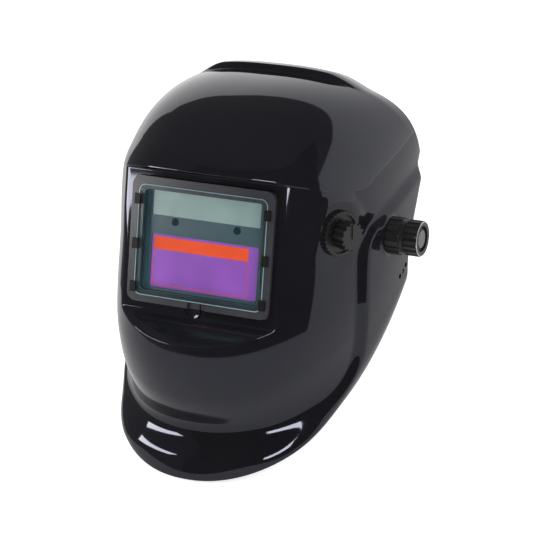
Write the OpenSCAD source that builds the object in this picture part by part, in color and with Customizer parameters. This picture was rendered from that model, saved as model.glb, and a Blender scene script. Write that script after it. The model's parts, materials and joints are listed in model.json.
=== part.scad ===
// Flip-up auto-darkening welding helmet on an adjustable headgear.
// Millimetres. Origin: middle of the pivot axis. Front is -Y, wearer's left is +X, up is +Z.

/* [Shell profile] */
// Chin edge on the middle plane: y, z
chin_edge = [-126, -172]; // [-220:1:220]
// Throat, the hollow above the chin flare: y, z
throat = [-116, -142]; // [-220:1:220]
// Jaw: y, z
jaw = [-132, -107]; // [-220:1:220]
// Lip under the window: y, z
lip = [-138, -75]; // [-220:1:220]
// Eye level: y, z
eye = [-130, 0]; // [-220:1:220]
// Brow over the window: y, z
brow = [-125, 66]; // [-220:1:220]
// Forehead: y, z
forehead = [-106, 87]; // [-220:1:220]
// Hairline: y, z
hairline = [-74, 106]; // [-220:1:220]
// Front of the crown: y, z
crown_front = [-31, 115]; // [-220:1:220]
// Crown: y, z
crown = [24, 114]; // [-220:1:220]
// Rear edge of the crown: y, z
crown_rear = [47, 108]; // [-220:1:220]
// Lower corner of the rear edge, seen from the side: y, z
ear_low = [34, -56]; // [-120:1:120]
// Pull point of the rear edge curve: y, z
ear_pull = [18, -10]; // [-120:1:120]
// Upper corner of the rear edge: y, z
ear_high = [73, 49]; // [-120:1:120]

/* [Shell section] */
// Half width at the chin edge
half_chin = 100; // [85:0.5:125]
// Half width at eye level
half_eye = 108; // [95:0.5:130]
// Half width at the rear of the crown
half_crown = 104; // [90:0.5:130]
// Squareness of the plan sections, 2 is an ellipse
square_face = 2.2; // [1.9:0.05:2.6]
// Squareness of the crown arch
square_crown = 2.7; // [2:0.05:3.2]
// Wall thickness
wall = 3; // [2:0.1:4.5]
// How far the chin edge bows down at the jaw
jaw_bow = 9; // [0:1:20]

/* [Shell details] */
// Height of the step where the side flange stands out
step_h = 5; // [2:0.5:7]
// Run of that step
step_run = 10; // [6:0.5:16]
// How far the chin flares out below the throat
flare_out = 10; // [4:0.5:16]
// Height over which the chin flares
flare_run = 28; // [18:1:40]
// How far the chin edge tucks back in
flare_tuck = 4; // [0:0.5:8]
// Height of the raised crest on the crown
crest_h = 6; // [2:0.5:9]
// Half width of the crest
crest_half = 74; // [50:1:85]
// Front of the crest on the middle plane
crest_y = 12; // [0:1:30]

/* [Window] */
// Window face behind the origin plane: y at its centre
window_y = -102; // [-110:0.5:-96]
// Height of the window centre
window_z = 3; // [0:0.5:10]
// Backward lean of the window face
window_pitch = 8; // [4:0.5:10]
// How far the lens frame reaches past the cartridge at each side
frame_side = 4.5; // [4:0.5:8]
// How far the lens frame reaches past the cartridge above and below
frame_over = 3.5; // [3:0.5:6]
// Thickness of the lens frame
frame_t = 3; // [2.4:0.1:4]
// Corner radius of the lens frame
frame_r = 7; // [4:0.5:10]
// Width of the frame beside the front cover lens
lens_side = 5.5; // [5:0.5:8]
// Mean height of the frame above and below the front cover lens
lens_over = 5.5; // [5:0.5:8]
// How far the cover lens sits below the frame's middle
lens_drop = 0.5; // [0:0.5:2]
// Thickness of the front cover lens
lens_t = 1.5; // [0.8:0.1:1.6]
// How far the shell's opening stays inside the cartridge at each side
opening_side = 5; // [4:0.5:8]
// How far the shell's opening stays inside the cartridge above and below
opening_over = 5.5; // [5:0.5:8]
// Side margin from the lens frame to the corner of the recess
recess_margin = 7.5; // [6:0.5:10]
// Gap between the lens frame and the brow plane above it
brow_gap = 6; // [4:0.5:9]
// Rise of the brow plane towards the front
brow_rise = 0.31; // [0.2:0.01:0.45]
// Gap between the lens frame and the sill plane below it
sill_gap = 6.5; // [5:0.5:9]
// Fall of the sill plane towards the front
sill_fall = 0.46; // [0.4:0.01:0.6]
// Backward slope of the recess flanks
flank_slope = 1.4; // [1.2:0.05:1.6]

/* [Filter cartridge] */
// Width of the cartridge beside the viewing area
cart_side = 10; // [8:0.5:12]
// Height of the cartridge below the viewing area
cart_foot = 7.5; // [6:0.5:10]
// Height of the cartridge above the solar panel
cart_head = 7; // [6:0.5:10]
// Thickness of the front housing
cart_front_t = 4.5; // [4:0.1:6]
// Thickness of the back housing
cart_back_t = 4.5; // [4:0.1:6]
// Width of the viewing area
view_w = 90; // [84:0.5:94]
// Height of the viewing area
view_h = 41; // [36:0.5:42]
// Height of the solar panel
solar_h = 19; // [16:0.5:20]
// Height of the band with the sensors, between the solar panel and the viewing area
sensor_band = 14.5; // [13:0.5:18]
// Diameter of the arc sensors
sensor_d = 6; // [5:0.1:7]
// Spacing of the arc sensors
sensor_pitch = 52; // [40:1:70]
// Centre of the arc sensors below the solar panel
sensor_drop = 4; // [3.5:0.5:6]
// Diameter of the sensitivity and delay dials
dial_d = 14; // [10:0.5:16]
// Height of the dials
dial_h = 5; // [3:0.5:6]
// Spacing of the dials
dial_pitch = 48; // [36:1:60]
// Travel of the filter latches
latch_travel = 5; // [3:0.5:6]

/* [Shade dial] */
// Centre of the shade dial on the shell: x, y, z
shade_at = [92, -58, 14]; // [-150:0.5:150]
// Turn of its axis from the side towards the front
shade_yaw = 22; // [18:1:28]
// Diameter of the dial base
base_d = 35; // [30:0.5:38]
// Diameter of the shade knob
shade_d = 22; // [18:0.5:26]
// How far the shade knob stands out from the shell
shade_reach = 16; // [13:0.5:20]
// Diameter of the potentiometer shaft
shaft_d = 6; // [5:0.1:6.5]

/* [Pivot] */
// Distance from the middle to the knob seat on the shell
pivot_seat = 111; // [110:0.5:112]
// Diameter of the bolt shoulder that the visor turns on
shoulder_d = 12; // [10:0.1:14]
// Diameter of the bolt thread
thread_d = 8; // [6:0.1:9]
// Diameter of the knob collar
collar_d = 29; // [26:0.5:33]
// Length of the knob collar
collar_l = 13.5; // [10:0.5:16]
// Diameter of the tension knob
tension_d = 28; // [25:0.5:32]
// Length of the tension knob
tension_l = 12; // [10:0.5:16]
// Diameter of the low nut on the far side
low_nut_d = 22; // [19:0.5:26]
// Length of the low nut on the far side
low_nut_l = 7; // [6:0.5:9]
// Thickness of the tilt limiter
limiter_t = 4; // [3:0.1:5]
// Radius of the tilt holes about the pivot
tilt_r = 40; // [38:0.5:44]
// Diameter of the tilt holes
tilt_d = 4.2; // [3.6:0.1:5]
// Thickness of the friction washer
washer_t = 1.2; // [0.8:0.1:2]
// Thickness of the side bracket
bracket_t = 4; // [3:0.1:5]
// Radius of the side bracket around the pivot
bracket_r = 18; // [16:0.5:20]

/* [Headgear] */
// Inside width of the headband
band_w = 154; // [146:1:162]
// Centre of the headband: y, z
band_at = [36, 8]; // [-20:1:40]
// Forward rise of the headband
band_tilt = 21; // [16:1:24]
// Travel of the rear band either way from its middle setting
rear_travel = 9.5; // [6:0.5:12]
// Length from the straight sides to the forehead
band_front = 62; // [56:1:66]
// Length from the straight sides to the nape
band_rear = 72; // [66:1:78]
// Depth of the headband, top edge to bottom edge
band_h = 28; // [24:1:32]
// Thickness of the headband
band_t = 2.2; // [1.6:0.1:3]
// Thickness of the sweatband
sweat_t = 6; // [4:0.5:8]
// Depth of the rear straps
strap_h = 18; // [16:0.5:20]
// Thickness of the rear straps
strap_t = 1.8; // [1.2:0.1:2.4]
// Height of the crown strap above the pivot axis
crown_top = 98; // [94:1:104]
// Width of the crown strap
crown_w = 18; // [16:1:24]
// Flat length of the rear straps inside the ratchet housing
rack_half = 26; // [22:1:28]
// Width of the ratchet housing
ratchet_w = 64; // [60:1:74]
// Height of the ratchet housing
ratchet_h = 36; // [34:1:42]
// Diameter of the ratchet knob
ratchet_d = 40; // [34:1:46]
// Depth of the ratchet knob
ratchet_l = 14; // [10:1:18]

/* [Fits] */
// Radial clearance of pins and shafts that turn
turn_gap = 0.05; // [0.03:0.01:0.1]
// Clearance between pieces that pass each other
pass_gap = 0.3; // [0.3:0.05:0.5]
// Clearance of pieces that sit in a seat
seat_gap = 0.2; // [0.1:0.05:0.3]

/* [Hidden] */
$fn = 48;

black = [0.06, 0.06, 0.07];
soot = [0.12, 0.12, 0.13];
steel = [0.72, 0.73, 0.75];
frame_grey = [0.36, 0.35, 0.40];

// Cartridge from what it holds, and the lens frame and openings around it
cart_w = view_w + 2 * cart_side;
cart_h = cart_foot + view_h + sensor_band + solar_h + cart_head;
view_drop = cart_h / 2 - cart_foot - view_h / 2;
solar_rise = cart_h / 2 - cart_head - solar_h / 2;
sensor_rise = solar_rise - solar_h / 2 - sensor_drop;
frame_w = cart_w + 2 * frame_side;
frame_h = cart_h + 2 * frame_over;
lens_w = frame_w - 2 * lens_side;
lens_h = frame_h - 2 * lens_over;
opening_w = cart_w - 2 * opening_side;
opening_h = cart_h - 2 * opening_over;

// Smooth ramp from 0 to 1
function ease(t) = let (c = max(0, min(1, t))) c * c * (3 - 2 * c);

// Smaller of two values with the corner rounded over a distance k
function soft_min(a, b, k) =
    let (h = max(0, min(1, 0.5 + 0.5 * (b - a) / k)))
    b * (1 - h) + a * h - k * h * (1 - h);

// Larger of two values with the corner rounded over a distance k
function soft_max(a, b, k) = -soft_min(-a, -b, k);

// Front profile of the shell: one smooth curve through its named points
profile = [chin_edge, throat, jaw, lip, eye, brow, forehead, hairline, crown_front, crown, crown_rear];
last = len(profile) - 1;
function run_to(i) = i == 0 ? 0 : run_to(i - 1) + norm(profile[i] - profile[i - 1]);
knots = [for (i = [0 : last]) run_to(i)];
slopes = [for (i = [0 : last])
    let (a = max(i - 1, 0), b = min(i + 1, last))
    (profile[b] - profile[a]) / (knots[b] - knots[a])];
function span_of(u, i = 0) = i >= last - 1 || u <= knots[i + 1] ? i : span_of(u, i + 1);
function profile_at(u) =
    let (i = span_of(u), h = knots[i + 1] - knots[i], q = (u - knots[i]) / h)
    (1 + 2 * q) * (1 - q) * (1 - q) * profile[i] + q * (1 - q) * (1 - q) * h * slopes[i]
    + q * q * (3 - 2 * q) * profile[i + 1] - q * q * (1 - q) * h * slopes[i + 1];
probe = 0.5;
function profile_normal(u) =
    let (t = profile_at(min(u + probe, knots[last])) - profile_at(max(u - probe, 0)))
    [-t.y, t.x] / norm(t);

// Rear edge of the shell, seen from the side
function rear_at(t) =
    (1 - t) * (1 - t) * ear_low + 2 * t * (1 - t) * ear_pull + t * t * ear_high;

// One row of the shell runs from the front profile to the rear edge
rear_lead = 0.7;
bow_reach = 0.33;
widest = 0.6;
chin_rise = 0.2;
arch_start = 0.75;
function row_at(u) =
    let (t = pow(u / knots[last], rear_lead))
    [
        profile_at(u), profile_normal(u), rear_at(t),
        half_eye - (half_eye - half_chin) * pow(max(0, 1 - t / chin_rise), 2)
            - (half_eye - half_crown) * pow(max(0, (t - widest) / (1 - widest)), 2),
        square_face + (square_crown - square_face) * pow(max(0, (t - arch_start) / (1 - arch_start)), 2),
        jaw_bow * pow(max(0, 1 - t / bow_reach), 1.5)
    ];

// Smooth body of the shell at a row, at an angle from 0 in front to 90 at the rear edge
bow_dir = [0.5, -0.8];
function body_point(row, a, inset) =
    let (
        n = row[4],
        s = 1 - pow(max(cos(a), 0), 2 / n),
        f = row[0] - inset * row[1],
        p = f + (row[2] - f) * s + row[5] * 4 * s * (1 - s) * bow_dir
    )
    [(row[3] - inset) * pow(max(sin(a), 0), 2 / n), p.x, p.y];

// The line where the side flange steps out and turns into the chin flare: y, z
step_line = [
    [90, 46], [60, 41], [29, 34], [-8, 22], [-29, 11], [-38, 0], [-41, -20], [-42, -46], [-41, -71],
    [-42, -89], [-53, -107], [-76, -123], [-98, -132], [-118, -134], [-160, -136]
];
function segment_gap(p, a, b) =
    let (d = b - a, t = max(0, min(1, (p - a) * d / (d * d))), q = a + t * d - p)
    [norm(q), sign(d.x * (p.y - a.y) - d.y * (p.x - a.x))];
function step_gap(p) =
    let (
        g = [for (i = [0 : len(step_line) - 2]) segment_gap(p, step_line[i], step_line[i + 1])],
        near = min([for (e = g) e[0]])
    )
    near * [for (e = g) if (e[0] == near) e[1]][0];

// Flange step at the sides and flare at the chin, pushed out square to the plan outline
chin_from = 42;
chin_blend = 42;
flare_lead = 4;
tuck_from = 20;
tuck_run = 26;
depth_scale = 130;
function flanged(p) =
    let (
        d = step_gap([p.y, p.z]),
        side = step_h * ease(d / step_run),
        chin = flare_out * ease((d + flare_lead) / flare_run) - flare_tuck * ease((d - tuck_from) / tuck_run),
        w = ease((-p.y - chin_from) / chin_blend),
        push = side * (1 - w) + chin * w,
        n = [p.x / half_eye / half_eye, min(p.y, 0) / depth_scale / depth_scale]
    )
    p + push * [n.x, n.y, 0] / (norm(n) + 1e-9);

// Recess around the window, with its brow, sill, flat face and flanks
recess_half = frame_w / 2 + recess_margin;
frame_edge = frame_h / 2 * [sin(window_pitch), cos(window_pitch)];
brow_at = [window_y, window_z] + frame_edge + [0, brow_gap];
sill_at = [window_y, window_z] - frame_edge - [0, sill_gap];
edge_round = 3;
inner_round = 4;
flank_round = 4;
function recessed(p, inset) =
    let (
        flat = window_y + (p.z - window_z) * tan(window_pitch) + inset / cos(window_pitch),
        flank = flat + (p.x - recess_half) * flank_slope
            + inset * (sqrt(1 + flank_slope * flank_slope) - 1),
        sill = sill_at.x + (p.z - sill_at.y + inset * sqrt(1 + sill_fall * sill_fall)) / sill_fall,
        top = brow_at.x - (p.z - brow_at.y - inset * sqrt(1 + brow_rise * brow_rise)) / brow_rise,
        rear = soft_max(flat, flank, max(1, flank_round - flank_slope * inset)),
        cut = soft_min(soft_min(rear, sill, inner_round), top, inner_round)
    )
    [p.x, soft_max(p.y, cut, edge_round), p.z];

// Raised crest on the crown
crest_curve = 330;
crest_edge = 4;
crest_end = 30;
crest_floor = 60;
function crested(p) =
    let (front = crest_y + p.x * p.x / crest_curve)
    p.z < crest_floor ? p
        : p + [0, 0, crest_h * ease((p.y - front) / crest_edge) * ease((crest_half - p.x) / crest_end)];

// Flat seats for the pivot knobs and the shade dial
pivot_margin = 8;
pivot_flat = collar_d / 2 + pivot_margin;
pivot_blend = 14;
shade_axis = [cos(shade_yaw), -sin(shade_yaw), 0];
shade_margin = 7;
shade_flat = base_d / 2 + shade_margin;
shade_blend = 9;
function seated(p, side, inset) =
    let (
        k = ease((pivot_flat + pivot_blend - norm([p.y, p.z])) / pivot_blend),
        q = [p.x + (pivot_seat - inset - p.x) * k, p.y, p.z],
        v = q - shade_at,
        along = v * shade_axis,
        r = norm(v - along * shade_axis),
        m = side > 0 ? ease((shade_flat + shade_blend - r) / shade_blend) : 0
    )
    q - (along + inset) * m * shade_axis;

function shell_point(row, a, side, inset) =
    let (p = crested(recessed(seated(flanged(body_point(row, a, inset)), side, inset), inset)))
    [side * p.x, p.y, p.z];

// Rows between neighbouring profile points: how many, and how they crowd towards one end
row_plan = [[5, 1], [3, 1], [4, 1], [12, 1], [7, -2], [5, 1.6], [3, 1], [3, 1], [5, 1], [3, 1]];
function crowd(f, k) = k > 0 ? pow(f, k) : 1 - pow(1 - f, -k);
row_marks = concat(
    [for (i = [0 : last - 1])
        for (j = [0 : row_plan[i][0] - 1])
            knots[i] + (knots[i + 1] - knots[i]) * crowd(j / row_plan[i][0], row_plan[i][1])],
    [knots[last]]
);
half_cols = 20;
rows = len(row_marks);
cols = 2 * half_cols + 1;
row_data = [for (u = row_marks) row_at(u)];
function skin(inset) = [
    for (r = [0 : rows - 1])
        for (c = [-half_cols : half_cols])
            shell_point(row_data[r], 90 * abs(c) / half_cols, c < 0 ? -1 : 1, inset)
];
function cell(r, c, inner) = (inner ? rows * cols : 0) + r * cols + c;
function two(a, b, c, d) = [[a, b, c], [a, c, d]];
function skin_faces(inner) = [
    for (r = [0 : rows - 2])
        for (c = [0 : cols - 2])
            let (a = cell(r, c, inner), b = cell(r + 1, c, inner))
            each (inner ? two(a, a + 1, b + 1, b) : two(a, b, b + 1, a + 1))
];
rim_faces = concat(
    [for (c = [0 : cols - 2]) each two(cell(0, c, false), cell(0, c + 1, false),
        cell(0, c + 1, true), cell(0, c, true))],
    [for (c = [0 : cols - 2]) each two(cell(rows - 1, c + 1, false), cell(rows - 1, c, false),
        cell(rows - 1, c, true), cell(rows - 1, c + 1, true))],
    [for (r = [0 : rows - 2]) each two(cell(r + 1, 0, false), cell(r, 0, false),
        cell(r, 0, true), cell(r + 1, 0, true))],
    [for (r = [0 : rows - 2]) each two(cell(r, cols - 1, false), cell(r + 1, cols - 1, false),
        cell(r + 1, cols - 1, true), cell(r, cols - 1, true))]
);

// Window frame of reference: x across, y inwards, z up the leaning face
module at_window() {
    translate([0, window_y, window_z]) rotate([-window_pitch, 0, 0]) children();
}

// Shade dial frame of reference: z outwards along the dial's axis, from the shell's face
module at_shade() {
    translate(shade_at) rotate([0, 90, -shade_yaw]) children();
}

// Headband frame of reference: y backwards and down along the band, z square to it
module at_band() {
    translate([0, band_at.x, band_at.y]) rotate([-band_tilt, 0, 0]) children();
}

// Left side as drawn, right side mirrored
module on_side(side) {
    mirror([side < 0 ? 1 : 0, 0, 0]) children();
}

// Rod along X from one place to another
module rod_x(x0, x1, d) {
    translate([x0, 0, 0]) rotate([0, 90, 0]) cylinder(h = x1 - x0, d = d);
}

// Plate in the window frame with rounded corners, from depth y0 to y1
module plate(w, h, y0, y1, r) {
    translate([0, y1, 0]) rotate([90, 0, 0]) linear_extrude(y1 - y0) rounded(w, h, r);
}

module rounded(w, h, r) {
    polygon([for (i = [0 : 3])
        for (k = [0 : 6])
            let (a = 90 * i + 15 * k, sx = i == 0 || i == 3 ? 1 : -1, sy = i < 2 ? 1 : -1)
            [sx * (w / 2 - r) + r * cos(a), sy * (h / 2 - r) + r * sin(a)]]);
}

// Outline of a ribbed grip
module ribbed(d, ribs, depth) {
    polygon([for (i = [0 : ribs - 1])
        for (k = [0 : 3])
            let (a = 360 * (i + [0, 0.12, 0.5, 0.62][k]) / ribs, r = d / 2 - [depth, 0, 0, depth][k])
            [r * cos(a), r * sin(a)]]);
}

// Window stack, depths measured inwards from the shell's outer face
opening_r = 4;
cart_r = 4;
screw_d = 2.5;
screw_head_d = 4.4;
screw_head_h = 1.6;
screw_l = 8;
boss_d = 5;
screw_out = [1, 0.5];
screw_x = cart_w / 2 + screw_out.x;
screw_z = cart_h / 2 + screw_out.y;
screw_floor = wall + 3;
holder_lip = 2;
holder_wall = 4.5;
cart_y = wall + holder_lip;
cart_mid = cart_y + cart_front_t;
cart_back = cart_mid + cart_back_t;
holder_back = cart_back + seat_gap;
holder_w = cart_w + 2 * holder_wall;
holder_h = cart_h + 2 * holder_wall;
tilt_step = 9;
tilt_first = -50;
bushing_d = 9;

module shell() {
    color([0.20, 0.20, 0.22])
    difference() {
        polyhedron(points = concat(skin(0), skin(wall)),
            faces = concat(skin_faces(false), skin_faces(true), rim_faces), convexity = 10);
        at_window() {
            plate(opening_w, opening_h, -4, wall + 4, opening_r);
            for (sx = [-1, 1], sz = [-1, 1])
                translate([sx * screw_x, -4, sz * screw_z]) rotate([-90, 0, 0])
                    cylinder(h = wall + 8, d = boss_d + 2 * seat_gap);
        }
        for (side = [-1, 1])
            on_side(side) {
                rod_x(pivot_seat - wall - 6, pivot_seat + 6, shoulder_d + 2 * turn_gap);
                for (i = [0 : 2])
                    tilt_place(i) rod_x(pivot_seat - wall - 6, pivot_seat + 6, tilt_d);
            }
        at_shade() translate([0, 0, -wall - 6]) cylinder(h = wall + 12, d = bushing_d + 2 * seat_gap);
    }
}

// Place of a tilt hole around the pivot
module tilt_place(i) {
    a = tilt_first - i * tilt_step;
    translate([0, tilt_r * cos(a), tilt_r * sin(a)]) children();
}

// Lens frame with a rebate for the cover lens, four screw bosses and a thumb notch
lens_r = 6;
frame_gap = 0.1;
frame_open_margin = 4;
thumb_w = 15;
thumb_depth = 2;
thumb_floor = frame_h / 2 - lens_h / 2 - lens_drop;
pilot_d = screw_d + 0.1;
pilot_skin = 0.5;
module lens_frame() {
    color(frame_grey)
    at_window()
    difference() {
        union() {
            plate(frame_w, frame_h, -frame_t, -frame_gap, frame_r);
            for (sx = [-1, 1], sz = [-1, 1])
                translate([sx * screw_x, -frame_gap - 1, sz * screw_z]) rotate([-90, 0, 0])
                    cylinder(h = wall + frame_gap + 1, d = boss_d);
        }
        translate([0, 0, -lens_drop]) {
            plate(lens_w - 2 * frame_open_margin, lens_h - 2 * frame_open_margin, -frame_t - 1, 1, opening_r);
            plate(lens_w + 2 * seat_gap, lens_h + 2 * seat_gap, -frame_t - 1, lens_t - frame_t,
                lens_r + seat_gap);
        }
        translate([-thumb_w / 2, -frame_t - 1, -frame_h / 2 - 1])
            cube([thumb_w, thumb_depth + 1, thumb_floor + 1]);
        for (sx = [-1, 1], sz = [-1, 1])
            translate([sx * screw_x, -frame_t + pilot_skin, sz * screw_z]) rotate([-90, 0, 0])
                cylinder(h = frame_t + wall, d = pilot_d);
    }
}

// Clips that hold the cover lens in its rebate
clip_w = 5;
clip_l = 8;
clip_t = 1.4;
clip_high = 12.5;
clip_mid = -4;
clip_low = 5.5;
clip_rows = [lens_h / 2 - clip_high, clip_mid, clip_low - lens_h / 2];
module lens_clips() {
    color(black)
    at_window()
    for (sx = [-1, 1], z = clip_rows)
        translate([sx * (lens_w / 2 + seat_gap), -frame_t - clip_t / 2, z])
            cube([clip_w, clip_t, clip_l], center = true);
}

module cover_lens() {
    color([0.62, 0.80, 0.82, 0.35])
    at_window()
    translate([0, 0, -lens_drop])
    plate(lens_w, lens_h, -frame_t, -frame_t + lens_t, lens_r);
}

module frame_screws() {
    color(steel)
    at_window()
    for (sx = [-1, 1], sz = [-1, 1])
        translate([sx * screw_x, screw_floor, sz * screw_z]) rotate([90, 0, 0]) {
            cylinder(h = screw_l, d = screw_d);
            translate([0, 0, -screw_head_h]) cylinder(h = screw_head_h, d = screw_head_d);
        }
}

// Tray behind the window that carries the cartridge
rail_w = 2;
rail_h = 2.4;
latch_w = 10;
latch_l = 12;
latch_t = 2;
rail_l = 4;
rail_z = latch_w / 2 + pass_gap + rail_w / 2;
module filter_holder() {
    color(soot)
    at_window()
    union() {
        difference() {
            plate(holder_w, holder_h, wall + pass_gap, holder_back, frame_r);
            plate(opening_w, opening_h, wall - 1, cart_y + 1, opening_r);
            plate(cart_w + 2 * seat_gap, cart_h + 2 * seat_gap, cart_y, holder_back + 1, cart_r + seat_gap);
            for (sx = [-1, 1], sz = [-1, 1])
                translate([sx * screw_x, 0, sz * screw_z]) rotate([-90, 0, 0]) {
                    cylinder(h = holder_back + 1, d = screw_d + 2 * seat_gap);
                    translate([0, 0, screw_floor]) cylinder(h = holder_back, d = screw_head_d + 2 * seat_gap);
                }
        }
        for (sx = [-1, 1], sz = [-1, 1])
            translate([sx * (holder_w - rail_l) / 2, holder_back + rail_h / 2, sz * rail_z])
                cube([rail_l, rail_h, rail_w], center = true);
    }
}

// Cartridge halves: the front carries the solar panel and sensors, the back the glass and circuit
panel_skin = 1.2;
glass_margin = 3;
glass_r = 1;
view_r = 1.5;
solar_r = 0.8;
filter_t = 1.1;
board_t = 1.6;
cell_d = 20;
cell_t = 3.2;
glass_w = view_w + 2 * glass_margin;
glass_h = view_h + 2 * glass_margin;
film_t = 0.4;
module filter_housing_front() {
    color([0.30, 0.34, 0.36])
    at_window()
    difference() {
        plate(cart_w, cart_h, cart_y, cart_mid, cart_r);
        translate([0, 0, -view_drop]) {
            plate(view_w, view_h, cart_y - 1, cart_mid + 1, view_r);
            plate(glass_w + 2 * seat_gap, glass_h + 2 * seat_gap, cart_y + panel_skin, cart_mid + 1, glass_r);
        }
        translate([0, 0, solar_rise])
            plate(view_w + 2 * seat_gap, solar_h + 2 * seat_gap, cart_y - 1, cart_y + panel_skin, glass_r);
        for (sx = [-1, 1])
            translate([sx * sensor_pitch / 2, cart_y - 1, sensor_rise]) rotate([-90, 0, 0])
                cylinder(h = cart_front_t + 2, d = sensor_d + 2 * seat_gap);
        translate([0, 0, board_z])
            plate(board_w + 2 * seat_gap, board_h + 2 * seat_gap, board_y, cart_mid + 1, glass_r);
    }
}

// Circuit board between the halves, above the glass
board_side = 6;
board_edge = 3;
board_gap = 1.5;
board_w = cart_w - 2 * board_side;
board_top = cart_h / 2 - board_edge;
board_low = glass_h / 2 - view_drop + board_gap;
board_h = board_top - board_low;
board_z = (board_top + board_low) / 2;
board_y = cart_mid - board_t;
module circuit_board() {
    color([0.10, 0.32, 0.18])
    at_window()
    translate([0, 0, board_z])
    plate(board_w, board_h, board_y, cart_mid, glass_r);
}

dial_shaft_d = 6;
dial_lift = 6;
dial_z = board_z + dial_lift;
inner_lens_t = 1;
cell_drop = 4;
cell_z = board_z - cell_drop;
module filter_housing_back() {
    color(black)
    at_window()
    difference() {
        plate(cart_w, cart_h, cart_mid, cart_back, cart_r);
        translate([0, 0, -view_drop]) {
            plate(view_w, view_h, cart_mid - 1, cart_back + 1, view_r);
            plate(glass_w + 2 * seat_gap, glass_h + 2 * seat_gap, cart_back - inner_lens_t, cart_back + 1,
                glass_r);
        }
        for (sx = [-1, 1])
            translate([sx * dial_pitch / 2, cart_mid - 1, dial_z]) rotate([-90, 0, 0])
                cylinder(h = cart_back_t + 2, d = dial_shaft_d + 2 * turn_gap);
        translate([0, cart_mid - 1, cell_z]) rotate([-90, 0, 0])
            cylinder(h = cell_t + 1 + seat_gap, d = cell_d + 2 * seat_gap);
    }
}

module uv_ir_filter() {
    color([0.35, 0.22, 0.45, 0.8])
    at_window()
    translate([0, 0, -view_drop])
    plate(glass_w, glass_h, cart_y + panel_skin, cart_y + panel_skin + filter_t, glass_r);
}

module lcd_shutter() {
    color([0.18, 0.26, 0.22, 0.8])
    at_window()
    translate([0, 0, -view_drop])
    plate(glass_w, glass_h, cart_y + panel_skin + filter_t, cart_mid, glass_r);
}

// Peel-off film over the viewing area
module filter_film() {
    color([0.66, 0.45, 0.80, 0.9])
    at_window()
    translate([0, 0, -view_drop])
    plate(view_w - 2 * seat_gap, view_h - 2 * seat_gap, cart_y + panel_skin - film_t, cart_y + panel_skin,
        view_r);
}

module solar_panel() {
    color([0.70, 0.78, 0.76])
    at_window()
    translate([0, 0, solar_rise])
    plate(view_w, solar_h, cart_y, cart_y + panel_skin, solar_r);
}

module arc_sensors() {
    color([0.05, 0.06, 0.07])
    at_window()
    for (sx = [-1, 1])
        translate([sx * sensor_pitch / 2, cart_y, sensor_rise]) rotate([-90, 0, 0])
            cylinder(h = board_y - cart_y, d = sensor_d);
}

module coin_cell() {
    color(steel)
    at_window()
    translate([0, cart_mid, cell_z]) rotate([-90, 0, 0]) cylinder(h = cell_t, d = cell_d);
}

module inner_cover_lens() {
    color([0.75, 0.85, 0.86, 0.35])
    at_window()
    translate([0, 0, -view_drop])
    plate(glass_w, glass_h, cart_back - inner_lens_t, cart_back, glass_r);
}

// Latch that slides out to free the cartridge
latch_lip = 2;
latch_over = latch_travel - latch_lip;
module filter_latch(side) {
    color([0.75, 0.18, 0.12])
    at_window()
    on_side(side)
    translate([cart_w / 2 - latch_over, holder_back + pass_gap, 0]) {
        translate([0, 0, -latch_w / 2]) cube([latch_l, latch_t, latch_w]);
        translate([latch_l - latch_lip - 1, latch_t, -latch_w / 2]) cube([latch_lip, latch_lip, latch_w]);
    }
}
module filter_latch_left() { filter_latch(1); }
module filter_latch_right() { filter_latch(-1); }

// Dial on the back of the cartridge, with its shaft
dial_ribs = 18;
dial_groove = 0.6;
slot_w = 1.4;
slot_depth = 0.8;
module dial(side) {
    color([0.20, 0.20, 0.22])
    at_window()
    translate([side * dial_pitch / 2, cart_back + pass_gap, dial_z]) rotate([-90, 0, 0])
    difference() {
        union() {
            linear_extrude(dial_h) ribbed(dial_d, dial_ribs, dial_groove);
            translate([0, 0, seat_gap - pass_gap - cart_back_t])
                cylinder(h = cart_back_t + pass_gap, d = dial_shaft_d);
        }
        translate([-slot_w / 2, 0, dial_h - slot_depth]) cube([slot_w, dial_d, dial_h]);
    }
}
module sensitivity_dial() { dial(1); }
module delay_dial() { dial(-1); }

// Shade dial: scale base on the shell, potentiometer behind it, knob in front
base_t = 2;
rim_h = 4;
rim_w = 2.5;
rim_ribs = 30;
rim_groove = 0.7;
nut_af = 12;
nut_h = 2.2;
pot_d = 17;
pot_h = 9;
module shade_base() {
    color(soot)
    at_shade()
    difference() {
        linear_extrude(rim_h) ribbed(base_d, rim_ribs, rim_groove);
        translate([0, 0, -1]) cylinder(h = rim_h + 2, d = bushing_d + 2 * seat_gap);
        translate([0, 0, base_t]) cylinder(h = rim_h, d = base_d - 2 * rim_w);
    }
}

module shade_nut() {
    color(steel)
    at_shade()
    translate([0, 0, base_t])
    difference() {
        cylinder(h = nut_h, d = nut_af / cos(30), $fn = 6);
        translate([0, 0, -1]) cylinder(h = nut_h + 2, d = bushing_d + 2 * seat_gap);
    }
}

module potentiometer() {
    color([0.55, 0.56, 0.50])
    at_shade()
    difference() {
        union() {
            translate([0, 0, -wall - pot_h]) cylinder(h = pot_h, d = pot_d);
            translate([0, 0, -wall]) cylinder(h = wall + base_t + nut_h, d = bushing_d);
        }
        translate([0, 0, -wall - shaft_in - 1])
            cylinder(h = wall + shaft_in + knob_clear + 2, d = shaft_d + 2 * turn_gap);
    }
}

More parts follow.
